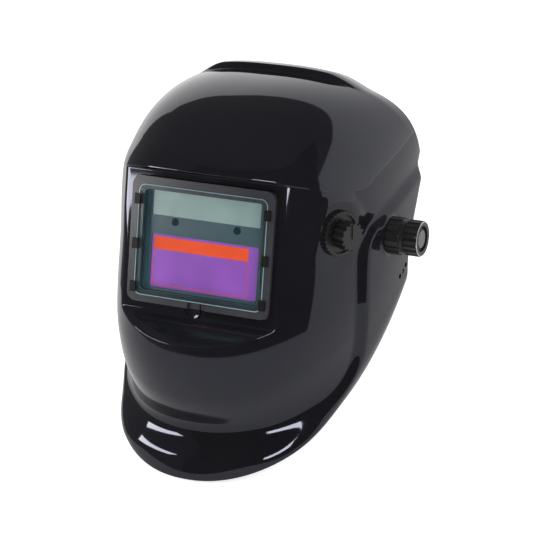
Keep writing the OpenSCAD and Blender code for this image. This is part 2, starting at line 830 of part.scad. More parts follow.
knob_clear = base_t + nut_h + pass_gap;
shade_ribs = 14;
shade_groove = 1.4;
pointer_w = 1.6;
pointer_h = 0.8;
shaft_in = 3;
module shade_knob() {
    color(black)
    at_shade()
    union() {
        translate([0, 0, -wall - shaft_in]) cylinder(h = wall + shaft_in + knob_clear + 1, d = shaft_d);
        translate([0, 0, knob_clear])
            linear_extrude(shade_reach - pointer_h - knob_clear) ribbed(shade_d, shade_ribs, shade_groove);
        translate([shade_groove - shade_d / 2, -pointer_w / 2, knob_clear])
            cube([shade_d / 2, pointer_w, shade_reach - knob_clear]);
    }
}

// Pivot stack along X, from the shell's seat inwards and outwards
limiter_out = pivot_seat - wall;
limiter_in = limiter_out - limiter_t;
washer_out = limiter_in - pass_gap;
bracket_out = washer_out - washer_t;
bracket_in = bracket_out - bracket_t;
collar_end = pivot_seat + collar_l;
tension_start = collar_end + pass_gap;
tension_end = tension_start + tension_l;
limiter_d = 26;
bolt_head = 12;
bolt_head_t = 3;
bolt_neck = 8;
arm_w = 9;
pin_proud = 1.5;
module tilt_limiter(side) {
    color(soot)
    on_side(side)
    difference() {
        union() {
            rod_x(limiter_in, limiter_out, limiter_d);
            rotate([tilt_first - tilt_step, 0, 0])
                translate([limiter_in, 0, -arm_w / 2]) cube([limiter_t, tilt_r, arm_w]);
            tilt_place(1) rod_x(limiter_in, limiter_out, arm_w + 2);
            tilt_place(1) rod_x(limiter_out, pivot_seat + pin_proud, tilt_d - 2 * seat_gap);
        }
        rod_x(limiter_in - 1, limiter_out + 1, shoulder_d + 2 * turn_gap);
    }
}
module tilt_limiter_left() { tilt_limiter(1); }
module tilt_limiter_right() { tilt_limiter(-1); }

collar_ribs = 16;
collar_groove = 1.1;
collar_neck = 3;
collar_step = 4;
module knob_collar() {
    color(black)
    difference() {
        union() {
            translate([pivot_seat, 0, 0]) rotate([0, 90, 0])
                linear_extrude(collar_l - collar_neck) ribbed(collar_d, collar_ribs, collar_groove);
            rod_x(collar_end - collar_neck, collar_end, collar_d - collar_step);
        }
        rod_x(pivot_seat - 1, collar_end + 1, shoulder_d + 2 * turn_gap);
    }
}

tension_ribs = 18;
tension_groove = 0.9;
cap_d = 14;
cap_t = 1.5;
cap_rim = 3;
face_depth = 2.5;
stud_skin = 1.5;
stud_l = tension_l - face_depth - stud_skin;
module tension_knob() {
    color(black)
    difference() {
        translate([tension_start, 0, 0]) rotate([0, 90, 0])
            linear_extrude(tension_l) ribbed(tension_d, tension_ribs, tension_groove);
        rod_x(tension_start - 1, collar_end + stud_l + pass_gap, thread_d + 2 * turn_gap);
        rod_x(tension_end - face_depth, tension_end + 1, cap_d + 2 * cap_rim);
    }
}

module knob_cap() {
    color([0.62, 0.63, 0.65])
    rod_x(tension_end - face_depth, tension_end - face_depth + cap_t, cap_d);
}

// Low nut on the far side
low_stud = 5;
module pivot_nut() {
    color(black)
    on_side(-1)
    difference() {
        translate([pivot_seat + pass_gap, 0, 0]) rotate([0, 90, 0])
            linear_extrude(low_nut_l) ribbed(low_nut_d, tension_ribs, tension_groove);
        rod_x(pivot_seat - 1, pivot_seat + low_stud + 1, thread_d + 2 * turn_gap);
    }
}

module pivot_bolt(shoulder_end, stud) {
    color(soot)
    union() {
        translate([bracket_in - bolt_head_t, -bolt_head / 2, -bolt_head / 2])
            cube([bolt_head_t, bolt_head, bolt_head]);
        translate([bracket_in - 1, -bolt_neck / 2, -bolt_neck / 2])
            cube([bracket_t + 1, bolt_neck, bolt_neck]);
        rod_x(bracket_out, shoulder_end, shoulder_d);
        rod_x(shoulder_end - 1, shoulder_end + stud, thread_d);
    }
}
module pivot_bolt_left() { pivot_bolt(collar_end, stud_l); }
module pivot_bolt_right() { on_side(-1) pivot_bolt(pivot_seat, low_stud); }

module friction_washers() {
    color([0.55, 0.12, 0.10])
    for (side = [-1, 1])
        on_side(side)
        difference() {
            rod_x(bracket_out, washer_out, limiter_d);
            rod_x(bracket_out - 1, washer_out + 1, shoulder_d + 2 * seat_gap);
        }
}

// Side bracket: a disc on the pivot, two legs and a foot on the headband
band_out = band_w / 2 + band_t;
foot_t = 2.5;
foot_h = 18;
foot_front = -34;
foot_back = -10;
leg_w = 7;
leg_h = 7;
leg_z = bolt_head / 2 + 1;
leg_apart = 4;
leg_front = band_at.x + foot_front * cos(band_tilt) + leg_w;
leg_back = band_at.x + foot_back * cos(band_tilt) - leg_w;
rivet_d = 3;
rivet_head = 6;
rivet_cap = 1.2;
rivet_in = 5;
rivet_z = 5;
rivet_rows = [foot_front + rivet_in, foot_back - rivet_in];
module side_bracket(side) {
    color(soot)
    on_side(side)
    difference() {
        union() {
            rod_x(bracket_in, bracket_out, 2 * bracket_r);
            at_band()
                translate([band_out, foot_front, -foot_h / 2]) cube([foot_t, foot_back - foot_front, foot_h]);
            bracket_leg(-leg_w - leg_apart, leg_front);
            bracket_leg(leg_apart, leg_back);
        }
        translate([bracket_in - 1, -bolt_neck / 2 - seat_gap, -bolt_neck / 2 - seat_gap])
            cube([bracket_t + 2, bolt_neck + 2 * seat_gap, bolt_neck + 2 * seat_gap]);
        at_band()
            for (y = rivet_rows)
                translate([0, y, rivet_z]) rod_x(band_out - 1, band_out + foot_t + 1, rivet_d + 2 * seat_gap);
    }
}
module bracket_leg(disc_y, foot_y) {
    translate([0, 0, leg_z]) linear_extrude(leg_h) polygon([
        [bracket_out, disc_y], [bracket_out, disc_y + leg_w], [band_out + foot_t, foot_y + leg_w],
        [band_out, foot_y + leg_w], [band_out, foot_y], [bracket_in, disc_y]
    ]);
}
module side_bracket_left() { side_bracket(1); }
module side_bracket_right() { side_bracket(-1); }

// Rivets through the headband: two for each bracket and one for each end of the crown straps
crown_rivet_y = 0;
module band_rivets() {
    color(steel)
    at_band()
    for (side = [-1, 1])
        on_side(side) {
            for (y = rivet_rows) rivet(band_w / 2, band_out + foot_t, y, rivet_z);
            rivet(band_w / 2 - crown_t, band_out, crown_rivet_y, 0);
        }
}
module rivet(x0, x1, y, z) {
    translate([0, y, z]) {
        rod_x(x0 - rivet_cap, x0, rivet_head);
        rod_x(x0 - rivet_cap, x1 + rivet_cap, rivet_d);
        rod_x(x1, x1 + rivet_cap, rivet_head);
    }
}

// Lengths along the headband's sides that leave the rear straps their travel
keeper_l = 7;
keeper_t = 2;
strap_start = rivet_head / 2 + pass_gap + rear_travel;
keeper_y = strap_start + rear_travel + pass_gap;
headband_end = keeper_y + keeper_l;
band_straight = headband_end + rear_travel + pass_gap;

// Plan outline of the headband, grown outwards from its inside face
band_steps = 24;
function band_outline(grow) = concat(
    [for (i = [0 : band_steps])
        let (a = 180 + 180 * i / band_steps)
        [(band_w / 2 + grow) * cos(a), -band_straight + (band_front + grow) * sin(a)]],
    [for (i = [0 : band_steps])
        let (a = 180 * i / band_steps)
        [(band_w / 2 + grow) * cos(a), band_straight + (band_rear + grow) * sin(a)]]
);
module band_prism(grow, h) {
    translate([0, 0, -h / 2]) linear_extrude(h) polygon(band_outline(grow));
}

vent_x = 12;
vent_w = 14;
vent_h = 6;
module headband() {
    color(soot)
    at_band()
    difference() {
        band_prism(band_t, band_h);
        band_prism(0, band_h + 2);
        translate([-band_w, headband_end, -band_h]) cube([2 * band_w, 2 * band_w, 2 * band_h]);
        for (side = [-1, 1])
            on_side(side) {
                for (p = [[rivet_rows[0], rivet_z], [rivet_rows[1], rivet_z], [crown_rivet_y, 0]])
                    translate([0, p.x, p.y]) rod_x(band_w / 2 - 2, band_out + 2, rivet_d + 2 * seat_gap);
                translate([vent_x, -band_straight - band_front - band_t - 1, -vent_h / 2])
                    cube([vent_w, band_front, vent_h]);
            }
    }
}

// Soft band against the forehead
sweat_h = 34;
sweat_back = -58;
module sweatband() {
    color([0.10, 0.10, 0.11])
    at_band()
    difference() {
        band_prism(-pass_gap, sweat_h);
        band_prism(-pass_gap - sweat_t, sweat_h + 2);
        translate([-band_w, sweat_back, -band_h]) cube([2 * band_w, 2 * band_w, 2 * band_h]);
    }
}

// Crown straps: straight sides inside the headband and an arch over the head
crown_t = 1.6;
crown_foot = -6;
crown_spring = 20;
crown_lap = 22;
crown_x = band_w / 2;
function arch_outline(inset, top) = concat(
    [[crown_x - inset, crown_foot], [crown_x - inset, crown_spring]],
    [for (i = [0 : 2 * band_steps])
        let (a = 180 * i / (2 * band_steps))
        [(crown_x - inset) * cos(a), crown_spring + (top - crown_spring - inset) * sin(a)]],
    [[inset - crown_x, crown_foot]]
);
module crown_strap(side) {
    top = side > 0 ? crown_top : crown_top - crown_t - seat_gap;
    color(soot)
    difference() {
        translate([0, band_at.x + crown_w / 2, 0]) rotate([90, 0, 0])
        difference() {
            linear_extrude(crown_w) polygon(arch_outline(0, top));
            translate([0, 0, -1]) linear_extrude(crown_w + 2) polygon(concat(arch_outline(crown_t, top),
                [[crown_t - crown_x, crown_foot - 2], [crown_x - crown_t, crown_foot - 2]]));
        }
        translate([side > 0 ? -crown_lap - 2 * band_w : crown_lap, -band_w, -band_w]) cube(2 * band_w);
        for (x = crown_holes)
            translate([x, band_at.x, crown_spring]) cylinder(h = 2 * band_w, d = peg_d + 2 * seat_gap);
        at_band() translate([side * crown_x, crown_rivet_y, 0]) rotate([0, 90, 0])
            cylinder(h = 12, d = rivet_d + 2 * seat_gap, center = true);
    }
}
module crown_strap_left() { crown_strap(1); }
module crown_strap_right() { crown_strap(-1); }

// Pegs that lock the two crown straps at the chosen length
peg_d = 4;
peg_head = 7;
peg_cap = 1.6;
peg_lift = 0.2;
peg_in = 5;
peg_step = 7;
crown_holes = [for (i = [-2 : 2]) i * peg_step];
module crown_pins() {
    color(black)
    for (x = [-peg_step, peg_step]) {
        z = crown_spring + (crown_top - crown_spring) * sqrt(1 - x * x / crown_x / crown_x);
        translate([x, band_at.x, z + peg_lift]) cylinder(h = peg_cap, d = peg_head);
        translate([x, band_at.x, z - peg_in]) cylinder(h = peg_in + 2 * peg_lift, d = peg_d);
    }
}

// Loops on the headband that the rear straps slide through
strap_slack = 0.1;
strap_in = band_t + pass_gap + strap_slack;
strap_out = strap_in + strap_t;
keeper_w = strap_out - band_t + pass_gap + keeper_t;
module band_keepers() {
    color(soot)
    at_band()
    for (side = [-1, 1])
        on_side(side)
        difference() {
            translate([band_out, keeper_y, -strap_h / 2 - pass_gap - keeper_t])
                cube([keeper_w, keeper_l, strap_h + 2 * pass_gap + 2 * keeper_t]);
            translate([band_out - 1, keeper_y - 1, -strap_h / 2 - pass_gap])
                cube([strap_out - band_t + pass_gap + 1, keeper_l + 2, strap_h + 2 * pass_gap]);
        }
}

// Rear straps: straight arms beside the headband, bent round the nape, lapped flat at the rack
nape_half = ratchet_w / 2 + 3;
nape_flat = band_rear * (1 - sqrt(1 - pow(2 * nape_half / band_w, 2)));
nape_y = band_straight + band_rear - nape_flat;
rack_gap = 4.2;
module strap_prism(grow, h) {
    translate([0, 0, -h / 2]) linear_extrude(h)
        polygon([for (p = band_outline(grow)) [p.x, min(p.y, nape_y + grow)]]);
}
module rear_strap(side) {
    color(soot)
    at_band()
    difference() {
        strap_prism(strap_out, strap_h);
        strap_prism(strap_in, strap_h + 2);
        translate([-band_w, strap_start - 4 * band_w, -band_h]) cube([2 * band_w, 4 * band_w, 2 * band_h]);
        translate([side > 0 ? -2 * band_w - rack_half : rack_half, -band_w, -band_h])
            cube([2 * band_w, 4 * band_w, 2 * band_h]);
        translate([-rack_half - 2, 0, side > 0 ? rack_gap - band_h : -rack_gap])
            cube([2 * rack_half + 4, 4 * band_w, band_h]);
    }
}
module rear_strap_left() { rear_strap(1); }
module rear_strap_right() { rear_strap(-1); }

// Ratchet housing at the nape, its cover, screws and pad
strap_face = nape_y + strap_in;
plate_t = 2.7;
channel_t = strap_t + 2 * pass_gap;
cover_y = strap_face - pass_gap + channel_t;
cover_t = 3.5;
ratchet_r = 6;
cover_screw_in = [10, 3.5];
cover_screw_x = ratchet_w / 2 - cover_screw_in.x;
cover_screw_z = ratchet_h / 2 - cover_screw_in.y;
cover_screw_l = 4.5;
cover_screw_sink = 1.8;
wall_z = strap_h / 2 + pass_gap;
wall_sink = 0.5;
hub_d = 8;
tip_d = 5;
module ratchet_housing() {
    color(soot)
    at_band()
    difference() {
        union() {
            plate(ratchet_w, ratchet_h, strap_face - pass_gap - plate_t, strap_face - pass_gap, ratchet_r);
            for (sz = [-1, 1])
                translate([ratchet_r - ratchet_w / 2, strap_face - pass_gap - wall_sink,
                    sz > 0 ? wall_z : -ratchet_h / 2])
                    cube([ratchet_w - 2 * ratchet_r, channel_t + wall_sink, ratchet_h / 2 - wall_z]);
        }
        for (sx = [-1, 1], sz = [-1, 1])
            translate([sx * cover_screw_x, strap_face - pass_gap - plate_t + pilot_skin, sz * cover_screw_z])
                rotate([-90, 0, 0])
                cylinder(h = ratchet_h, d = pilot_d);
    }
}

module ratchet_cover() {
    color(black)
    at_band()
    difference() {
        plate(ratchet_w, ratchet_h, cover_y, cover_y + cover_t, ratchet_r);
        translate([0, cover_y - 1, 0]) rotate([-90, 0, 0])
            cylinder(h = cover_t + 2, d = hub_d + 2 * turn_gap);
        for (sx = [-1, 1], sz = [-1, 1])
            translate([sx * cover_screw_x, cover_y - 1, sz * cover_screw_z]) rotate([-90, 0, 0]) {
                cylinder(h = cover_t + 2, d = screw_d + 2 * seat_gap);
                translate([0, 0, cover_t + 1 - cover_screw_sink])
                    cylinder(h = cover_t, d = screw_head_d + 2 * seat_gap);
            }
    }
}

module cover_screws() {
    color(steel)
    at_band()
    for (sx = [-1, 1], sz = [-1, 1])
        translate([sx * cover_screw_x, cover_y + cover_t - cover_screw_sink, sz * cover_screw_z])
            rotate([90, 0, 0]) {
                cylinder(h = cover_screw_l, d = screw_d);
                translate([0, 0, -screw_head_h]) cylinder(h = screw_head_h, d = screw_head_d);
            }
}

pad_t = 6;
pad_side = 3;
pad_end = 2;
pad_r = 8;
pad_back = strap_face - 2 * pass_gap - plate_t;
module nape_pad() {
    color([0.10, 0.10, 0.11])
    at_band()
    plate(ratchet_w + 2 * pad_side, ratchet_h + 2 * pad_end, pad_back - pad_t, pad_back, pad_r);
}

pinion_d = 7.6;
pinion_teeth = 10;
tooth_h = 0.8;
module pinion() {
    color(steel)
    at_band()
    translate([0, strap_face, 0]) rotate([-90, 0, 0])
    difference() {
        linear_extrude(strap_t) ribbed(pinion_d, pinion_teeth, tooth_h);
        translate([0, 0, -1]) cylinder(h = strap_t + 2, d = tip_d + 2 * turn_gap);
    }
}

ratchet_lobes = 10;
lobe_depth = 3;
knob_y = cover_y + cover_t + pass_gap;
module ratchet_knob() {
    color(black)
    at_band()
    translate([0, knob_y, 0]) rotate([-90, 0, 0])
    union() {
        linear_extrude(ratchet_l) ribbed(ratchet_d, ratchet_lobes, lobe_depth);
        translate([0, 0, cover_y + pass_gap - knob_y]) cylinder(h = knob_y - cover_y, d = hub_d);
        translate([0, 0, strap_face - knob_y]) cylinder(h = cover_y + 1 - strap_face, d = tip_d);
    }
}

shell();
lens_frame();
lens_clips();
cover_lens();
frame_screws();
filter_holder();
filter_housing_front();
filter_housing_back();
uv_ir_filter();
lcd_shutter();
filter_film();
solar_panel();
arc_sensors();
circuit_board();
coin_cell();
inner_cover_lens();
filter_latch_left();
filter_latch_right();
sensitivity_dial();
delay_dial();
shade_base();
shade_nut();
potentiometer();
shade_knob();
tilt_limiter_left();
tilt_limiter_right();
knob_collar();
tension_knob();
pivot_nut();
knob_cap();
pivot_bolt_left();
pivot_bolt_right();
friction_washers();
side_bracket_left();
side_bracket_right();
band_rivets();
headband();
sweatband();
crown_strap_left();
crown_strap_right();
crown_pins();
band_keepers();
rear_strap_left();
rear_strap_right();
ratchet_housing();
ratchet_cover();
cover_screws();
nape_pad();
pinion();
ratchet_knob();
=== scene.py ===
import json
import math

import bpy
import numpy as np
from mathutils import Matrix, Vector

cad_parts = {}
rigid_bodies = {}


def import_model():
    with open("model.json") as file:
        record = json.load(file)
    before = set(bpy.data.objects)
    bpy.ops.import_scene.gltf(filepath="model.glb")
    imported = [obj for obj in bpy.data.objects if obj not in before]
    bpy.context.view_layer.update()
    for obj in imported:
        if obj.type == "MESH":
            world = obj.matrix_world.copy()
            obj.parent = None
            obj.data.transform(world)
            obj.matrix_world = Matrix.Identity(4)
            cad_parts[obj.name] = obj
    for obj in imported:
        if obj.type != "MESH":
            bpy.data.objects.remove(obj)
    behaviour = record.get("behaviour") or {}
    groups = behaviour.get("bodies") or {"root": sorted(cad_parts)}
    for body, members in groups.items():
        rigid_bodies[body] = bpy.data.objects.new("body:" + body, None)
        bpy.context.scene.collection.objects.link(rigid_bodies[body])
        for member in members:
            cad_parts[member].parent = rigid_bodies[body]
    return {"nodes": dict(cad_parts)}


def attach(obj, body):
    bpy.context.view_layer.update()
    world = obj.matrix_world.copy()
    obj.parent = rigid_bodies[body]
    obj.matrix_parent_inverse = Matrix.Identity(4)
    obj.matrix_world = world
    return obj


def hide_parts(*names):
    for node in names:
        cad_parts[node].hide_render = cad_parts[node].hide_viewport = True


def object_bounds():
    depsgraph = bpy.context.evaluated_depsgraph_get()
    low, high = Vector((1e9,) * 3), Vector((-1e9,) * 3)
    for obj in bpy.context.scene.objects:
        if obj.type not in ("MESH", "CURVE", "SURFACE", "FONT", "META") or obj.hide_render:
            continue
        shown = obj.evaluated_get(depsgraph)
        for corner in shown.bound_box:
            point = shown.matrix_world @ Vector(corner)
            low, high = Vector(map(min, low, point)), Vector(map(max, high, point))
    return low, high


for leftover in list(bpy.data.objects):
    bpy.data.objects.remove(leftover)
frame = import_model()
cad_low, cad_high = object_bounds()
nodes = frame["nodes"]
scene = bpy.context.scene
MM = 0.001

# Places and sizes shared with the solids, in millimetres
WALL = 3
PIVOT_SEAT = 111
SHADE_AT, SHADE_YAW = np.array([92.0, -58.0, 14.0]), math.radians(22)
WINDOW_Y, WINDOW_Z, WINDOW_PITCH = -102, 3, math.radians(8)
FRAME_W, FRAME_H, FRAME_T = 119, 96, 3
LENS_W, LENS_H, LENS_DROP = 108, 85, 0.5
OPENING_W, OPENING_H, OPENING_R = 100, 78, 4
FILM_DEPTH = 5.8
SCREW_X, SCREW_Z, BOSS_D = 56, 45, 5.4
SHOULDER_D, TILT_R, TILT_D, TILT_FIRST, TILT_STEP, TILT_HOLES = 12.1, 40, 4.2, -50, 9, 3
BUSHING_D = 9.4
BAND_Y, BAND_Z, BAND_TILT, BAND_STRAIGHT = 36, 8, math.radians(21), 39.4

# Edges that turn by more than this many degrees look sharp
SHARP_DEG, TAB_SHARP_DEG, KNOB_SHARP_DEG, FOAM_SHARP_DEG, NEVER_SHARP_DEG = 40, 35, 35, 80, 180
# Points of a solid's mesh that lie this near each other, in metres, are one
WELD_REACH = 1e-5


# Shaders

WHITE = (1, 1, 1, 1)
CLOUD_LOW, CLOUD_HIGH, CLOUD_DETAIL, ROUGH_SPREAD, RELIEF_DEPTH = 0.3, 0.7, 4, 0.15, 0.2 * MM


def link(tree, a, b):
    tree.links.new(a, b)


def material(name, color, rough=0.4, spread=0.12, cloud=30.0, grain=900.0, relief=0.1, **sockets):
    """A surface whose colour and roughness wander a little, with a fine relief."""
    made = bpy.data.materials.new(name)
    made.use_nodes = True
    tree = made.node_tree
    shader = tree.nodes["Principled BSDF"]
    coordinates = tree.nodes.new("ShaderNodeTexCoord")
    wide = tree.nodes.new("ShaderNodeTexNoise")
    wide.inputs["Scale"].default_value = cloud
    wide.inputs["Detail"].default_value = CLOUD_DETAIL
    link(tree, coordinates.outputs["Object"], wide.inputs["Vector"])
    ramp = tree.nodes.new("ShaderNodeValToRGB")
    ramp.color_ramp.elements[0].position = CLOUD_LOW
    ramp.color_ramp.elements[1].position = CLOUD_HIGH
    ramp.color_ramp.elements[0].color = (*[c * (1 - spread) for c in color], 1)
    ramp.color_ramp.elements[1].color = (*[c * (1 + spread) for c in color], 1)
    link(tree, wide.outputs["Fac"], ramp.inputs["Fac"])
    link(tree, ramp.outputs["Color"], shader.inputs["Base Color"])
    sheen = tree.nodes.new("ShaderNodeMapRange")
    sheen.inputs["To Min"].default_value = rough * (1 - ROUGH_SPREAD)
    sheen.inputs["To Max"].default_value = min(1, rough * (1 + ROUGH_SPREAD))
    link(tree, wide.outputs["Fac"], sheen.inputs["Value"])
    link(tree, sheen.outputs["Result"], shader.inputs["Roughness"])
    fine = tree.nodes.new("ShaderNodeTexNoise")
    fine.inputs["Scale"].default_value = grain
    link(tree, coordinates.outputs["Object"], fine.inputs["Vector"])
    bump = tree.nodes.new("ShaderNodeBump")
    bump.inputs["Strength"].default_value = relief
    bump.inputs["Distance"].default_value = RELIEF_DEPTH
    link(tree, fine.outputs["Fac"], bump.inputs["Height"])
    link(tree, bump.outputs["Normal"], shader.inputs["Normal"])
    for socket, value in sockets.items():
        shader.inputs[socket.replace("_", " ")].default_value = value
    return made


def see_through(made, alpha):
    """Lets the surface show what lies behind it."""
    made.node_tree.nodes["Principled BSDF"].inputs["Alpha"].default_value = alpha
    return made


gloss_black = material("gloss_black", (0.0085, 0.0085, 0.0105), rough=0.055, cloud=14, grain=60,
                       relief=0.01, Specular_IOR_Level=0.5, Specular_Tint=(0.82, 0.84, 1.0, 1.0))
satin_black = material("satin_black", (0.012, 0.012, 0.013), rough=0.34, relief=0.12)
soft_black = material("soft_black", (0.022, 0.022, 0.024), rough=0.5, relief=0.25)
frame_grey = material("frame_grey", (0.034, 0.032, 0.040), rough=0.3, relief=0.08)
clip_black = material("clip_black", (0.006, 0.006, 0.007), rough=0.45, relief=0.1, Specular_IOR_Level=0.2)
housing_teal = material("housing_teal", (0.034, 0.066, 0.082), rough=0.35, relief=0.1)
lens_teal = see_through(material("lens_teal", (0.08, 0.26, 0.30), rough=0.04, relief=0.0), alpha=0.04)
# Painted highlight: a lighter teal for the ring that stands for the light on the cover lens's rim
lens_rim_highlight = material("lens_rim_highlight", (0.22, 0.36, 0.38), rough=0.15, relief=0.02)
clear_inner = see_through(material("clear_inner", (0.5, 0.6, 0.6), rough=0.06, relief=0.0), alpha=0.25)
dark_glass = material("dark_glass", (0.010, 0.022, 0.016), rough=0.06, relief=0.0)
film_violet = material("film_violet", (0.33, 0.085, 0.55), rough=0.35, spread=0.25, cloud=16, relief=0.0,
                       Specular_IOR_Level=0.2)
film_orange = material("film_orange", (0.92, 0.08, 0.004), rough=0.45, spread=0.06, relief=0.0,
                       Specular_IOR_Level=0.1)
film_red = material("film_red", (0.62, 0.06, 0.10), rough=0.3, relief=0.04)
cell_grey = material("cell_grey", (0.26, 0.36, 0.34), rough=0.25, spread=0.12, cloud=40, relief=0.03)
sensor_dark = material("sensor_dark", (0.006, 0.012, 0.016), rough=0.1, relief=0.0)
board_green = material("board_green", (0.02, 0.10, 0.05), rough=0.45, spread=0.3)
steel = material("steel", (0.60, 0.61, 0.63), rough=0.28, Metallic=1.0)
chrome = material("chrome", (0.75, 0.75, 0.76), rough=0.15, relief=0.02, Metallic=1.0)
cap_grey = material("cap_grey", (0.16, 0.165, 0.17), rough=0.4, Metallic=0.3)
red_plastic = material("red_plastic", (0.45, 0.03, 0.02), rough=0.35)
friction_red = material("friction_red", (0.22, 0.03, 0.025), rough=0.8, spread=0.3, relief=0.4)
pot_metal = material("pot_metal", (0.42, 0.43, 0.38), rough=0.35, Metallic=0.9)
foam_black = material("foam_black", (0.020, 0.020, 0.022), rough=0.95, spread=0.3, grain=1500, relief=0.7)


# Frames of reference

def window_matrix():
    turn = Matrix.Rotation(-WINDOW_PITCH, 4, "X")
    return Matrix.Translation((0, WINDOW_Y * MM, WINDOW_Z * MM)) @ turn


def shade_matrix():
    turn = Matrix.Rotation(-SHADE_YAW, 4, "Z") @ Matrix.Rotation(math.pi / 2, 4, "Y")
    return Matrix.Translation(Vector(SHADE_AT) * MM) @ turn


def band_matrix():
    return Matrix.Translation((0, BAND_Y * MM, BAND_Z * MM)) @ Matrix.Rotation(-BAND_TILT, 4, "X")


# Mesh helpers

def mesh_piece(name, points, faces, paint, sharp_deg=SHARP_DEG):
    """An object from points in millimetres."""
    data = bpy.data.meshes.new(name)
    data.from_pydata((np.asarray(points, float) * MM).tolist(), [], faces)
    data.validate()
    piece = bpy.data.objects.new(name, data)
    scene.collection.objects.link(piece)
    shade(piece, paint, sharp_deg)
    return piece


def smooth(piece, sharp_deg):
    """Smooth faces, apart from edges that turn by more than an angle."""
    piece.data.polygons.foreach_set("use_smooth", [True] * len(piece.data.polygons))
    piece.data.set_sharp_from_angle(angle=math.radians(sharp_deg))


def shade(piece, paint, sharp_deg):
    """Gives a piece one finish and its smooth faces."""
    piece.data.materials.clear()
    piece.data.materials.append(paint)
    smooth(piece, sharp_deg)


def prism(outline, low, high):
    """Points and faces of an outline pushed along Z, closed."""
    n = len(outline)
    points = [(x, y, low) for x, y in outline] + [(x, y, high) for x, y in outline]
    faces = [tuple(reversed(range(n))), tuple(range(n, 2 * n))]
    faces += [(i, (i + 1) % n, n + (i + 1) % n, n + i) for i in range(n)]
    return points, faces


def lathe(profile, steps, ripple=None):
    """Points and faces of a closed profile (radius, height) turned about Z; ripple adds to the radius."""
    n = len(profile)
    points = []
    for i in range(steps):
        a = 2 * math.pi * i / steps
        for k, (r, h) in enumerate(profile):
            grown = r + (ripple(a, k) if ripple else 0)
            points.append((grown * math.cos(a), grown * math.sin(a), h))
    faces = []
    for i in range(steps):
        j = (i + 1) % steps
        for k in range(n):
            m = (k + 1) % n
            faces.append((i * n + k, j * n + k, j * n + m, i * n + m))
    return points, faces


def rounded(w, h, r, steps=8):
    """Outline of a rectangle with round corners, counterclockwise."""
    points = []
    for i, (sx, sy) in enumerate(((1, 1), (-1, 1), (-1, -1), (1, -1))):
        for k in range(steps + 1):
            a = math.pi / 2 * (i + k / steps)
            points.append((sx * (w / 2 - r) + r * math.cos(a), sy * (h / 2 - r) + r * math.sin(a)))
    return points


def circle(r, steps=48, x=0, y=0):
    return [(x + r * math.cos(2 * math.pi * i / steps), y + r * math.sin(2 * math.pi * i / steps))
            for i in range(steps)]


def place(piece, matrix):
    """Moves a piece's points by a matrix."""
    piece.data.transform(matrix)
    piece.data.update()
    return piece


# Puts a flat outline on the window: x across, y up, heights outwards
WINDOW_FACE = window_matrix() @ Matrix.Rotation(math.pi / 2, 4, "X")


EDGE_SEGMENTS, EDGE_DEG = 2, 35


def dress(name, paint, width):
    """Welds a solid's mesh, rounds its edges and gives it its finish."""
    solid = nodes[name]
    solid.data.materials.clear()
    solid.data.materials.append(paint)
    solid.data.polygons.foreach_set("use_smooth", [True] * len(solid.data.polygons))
    weld = solid.modifiers.new("weld", "WELD")
    weld.merge_threshold = WELD_REACH
    edge = solid.modifiers.new("edge", "BEVEL")
    edge.width = width * MM
    edge.segments = EDGE_SEGMENTS
    edge.limit_method = "ANGLE"
    edge.angle_limit = math.radians(EDGE_DEG)
    edge.harden_normals = True
    solid.modifiers.new("normals", "WEIGHTED_NORMAL")


# Shell: the solid's surface on a finer net, with smaller seats and a smooth step line

PROFILE = np.array([
    (-126, -172), (-116, -142), (-132, -107), (-137.9, -75), (-130, 0), (-125, 66),
    (-106, 87), (-74, 106), (-31, 115), (24, 114), (47, 108)], float)
EAR_LOW, EAR_PULL, EAR_HIGH = np.array([(34, -56), (18, -10), (73, 49)], float)
HALF_CHIN, HALF_EYE, HALF_CROWN = 100, 108, 104
SQUARE_FACE, SQUARE_CROWN = 2.2, 2.7
JAW_BOW, BOW_BACK, BOW_DOWN, BOW_FADE = 9, 0.5, 0.8, 1.5
REAR_LEAD, BOW_REACH, WIDEST, CHIN_RISE, ARCH_START = 0.7, 0.33, 0.6, 0.2, 0.75
STEP_LINE = np.array([
    (90, 46), (60, 41), (29, 34), (-8, 22), (-29, 11), (-38, 0), (-41, -20), (-42, -46), (-41, -71),
    (-42, -89), (-53, -107), (-76, -123), (-98, -132), (-118, -134), (-160, -136)], float)
STEP_H, STEP_RUN, STEP_POINTS = 5, 10, 80
FLARE_OUT, FLARE_RUN, FLARE_LEAD, FLARE_TUCK, TUCK_FROM, TUCK_RUN = 10, 28, 4, 4, 20, 26
CHIN_FROM, CHIN_BLEND, DEPTH_SCALE = 42, 42, 130
RECESS_MARGIN = 7.5
RECESS_HALF = FRAME_W / 2 + RECESS_MARGIN
BROW_GAP, BROW_RISE = 6, 0.31
SILL_GAP, SILL_FALL = 6.5, 0.46
FRAME_EDGE = np.array([math.sin(WINDOW_PITCH), math.cos(WINDOW_PITCH)]) * FRAME_H / 2
BROW_AT = np.array([WINDOW_Y, WINDOW_Z + BROW_GAP]) + FRAME_EDGE
SILL_AT = np.array([WINDOW_Y, WINDOW_Z - SILL_GAP]) - FRAME_EDGE
FLANK_SLOPE, FLANK_ROUND, EDGE_ROUND, INNER_ROUND = 1.4, 4, 1.6, 4
CREST_H, CREST_HALF, CREST_Y, CREST_FLOOR = 5.2, 74, 12, 60
CREST_CURVE, CREST_EDGE, CREST_END = 330, 4, 30
PIVOT_FLAT, PIVOT_BLEND = 13.5, 5
SHADE_FLAT, SHADE_BLEND = 17.6, 16
# Rows of the net between neighbouring points of the profile, close at the recess and the crest
SPAN_ROWS = (26, 28, 30, 120, 110, 30, 26, 30, 110, 46)
HALF_COLS = 120
# Half of the length along the profile that its direction is taken over
TANGENT_REACH = 0.5
# Keeps a direction's length from being zero
TINY = 1e-9
RIM_ROUND, RIM_SEGMENTS, RIM_DEG = 0.8, 3, 60
WINDOW_SPARE, SIDE_SPARE, HOLE_STEPS = 4, 6, 32


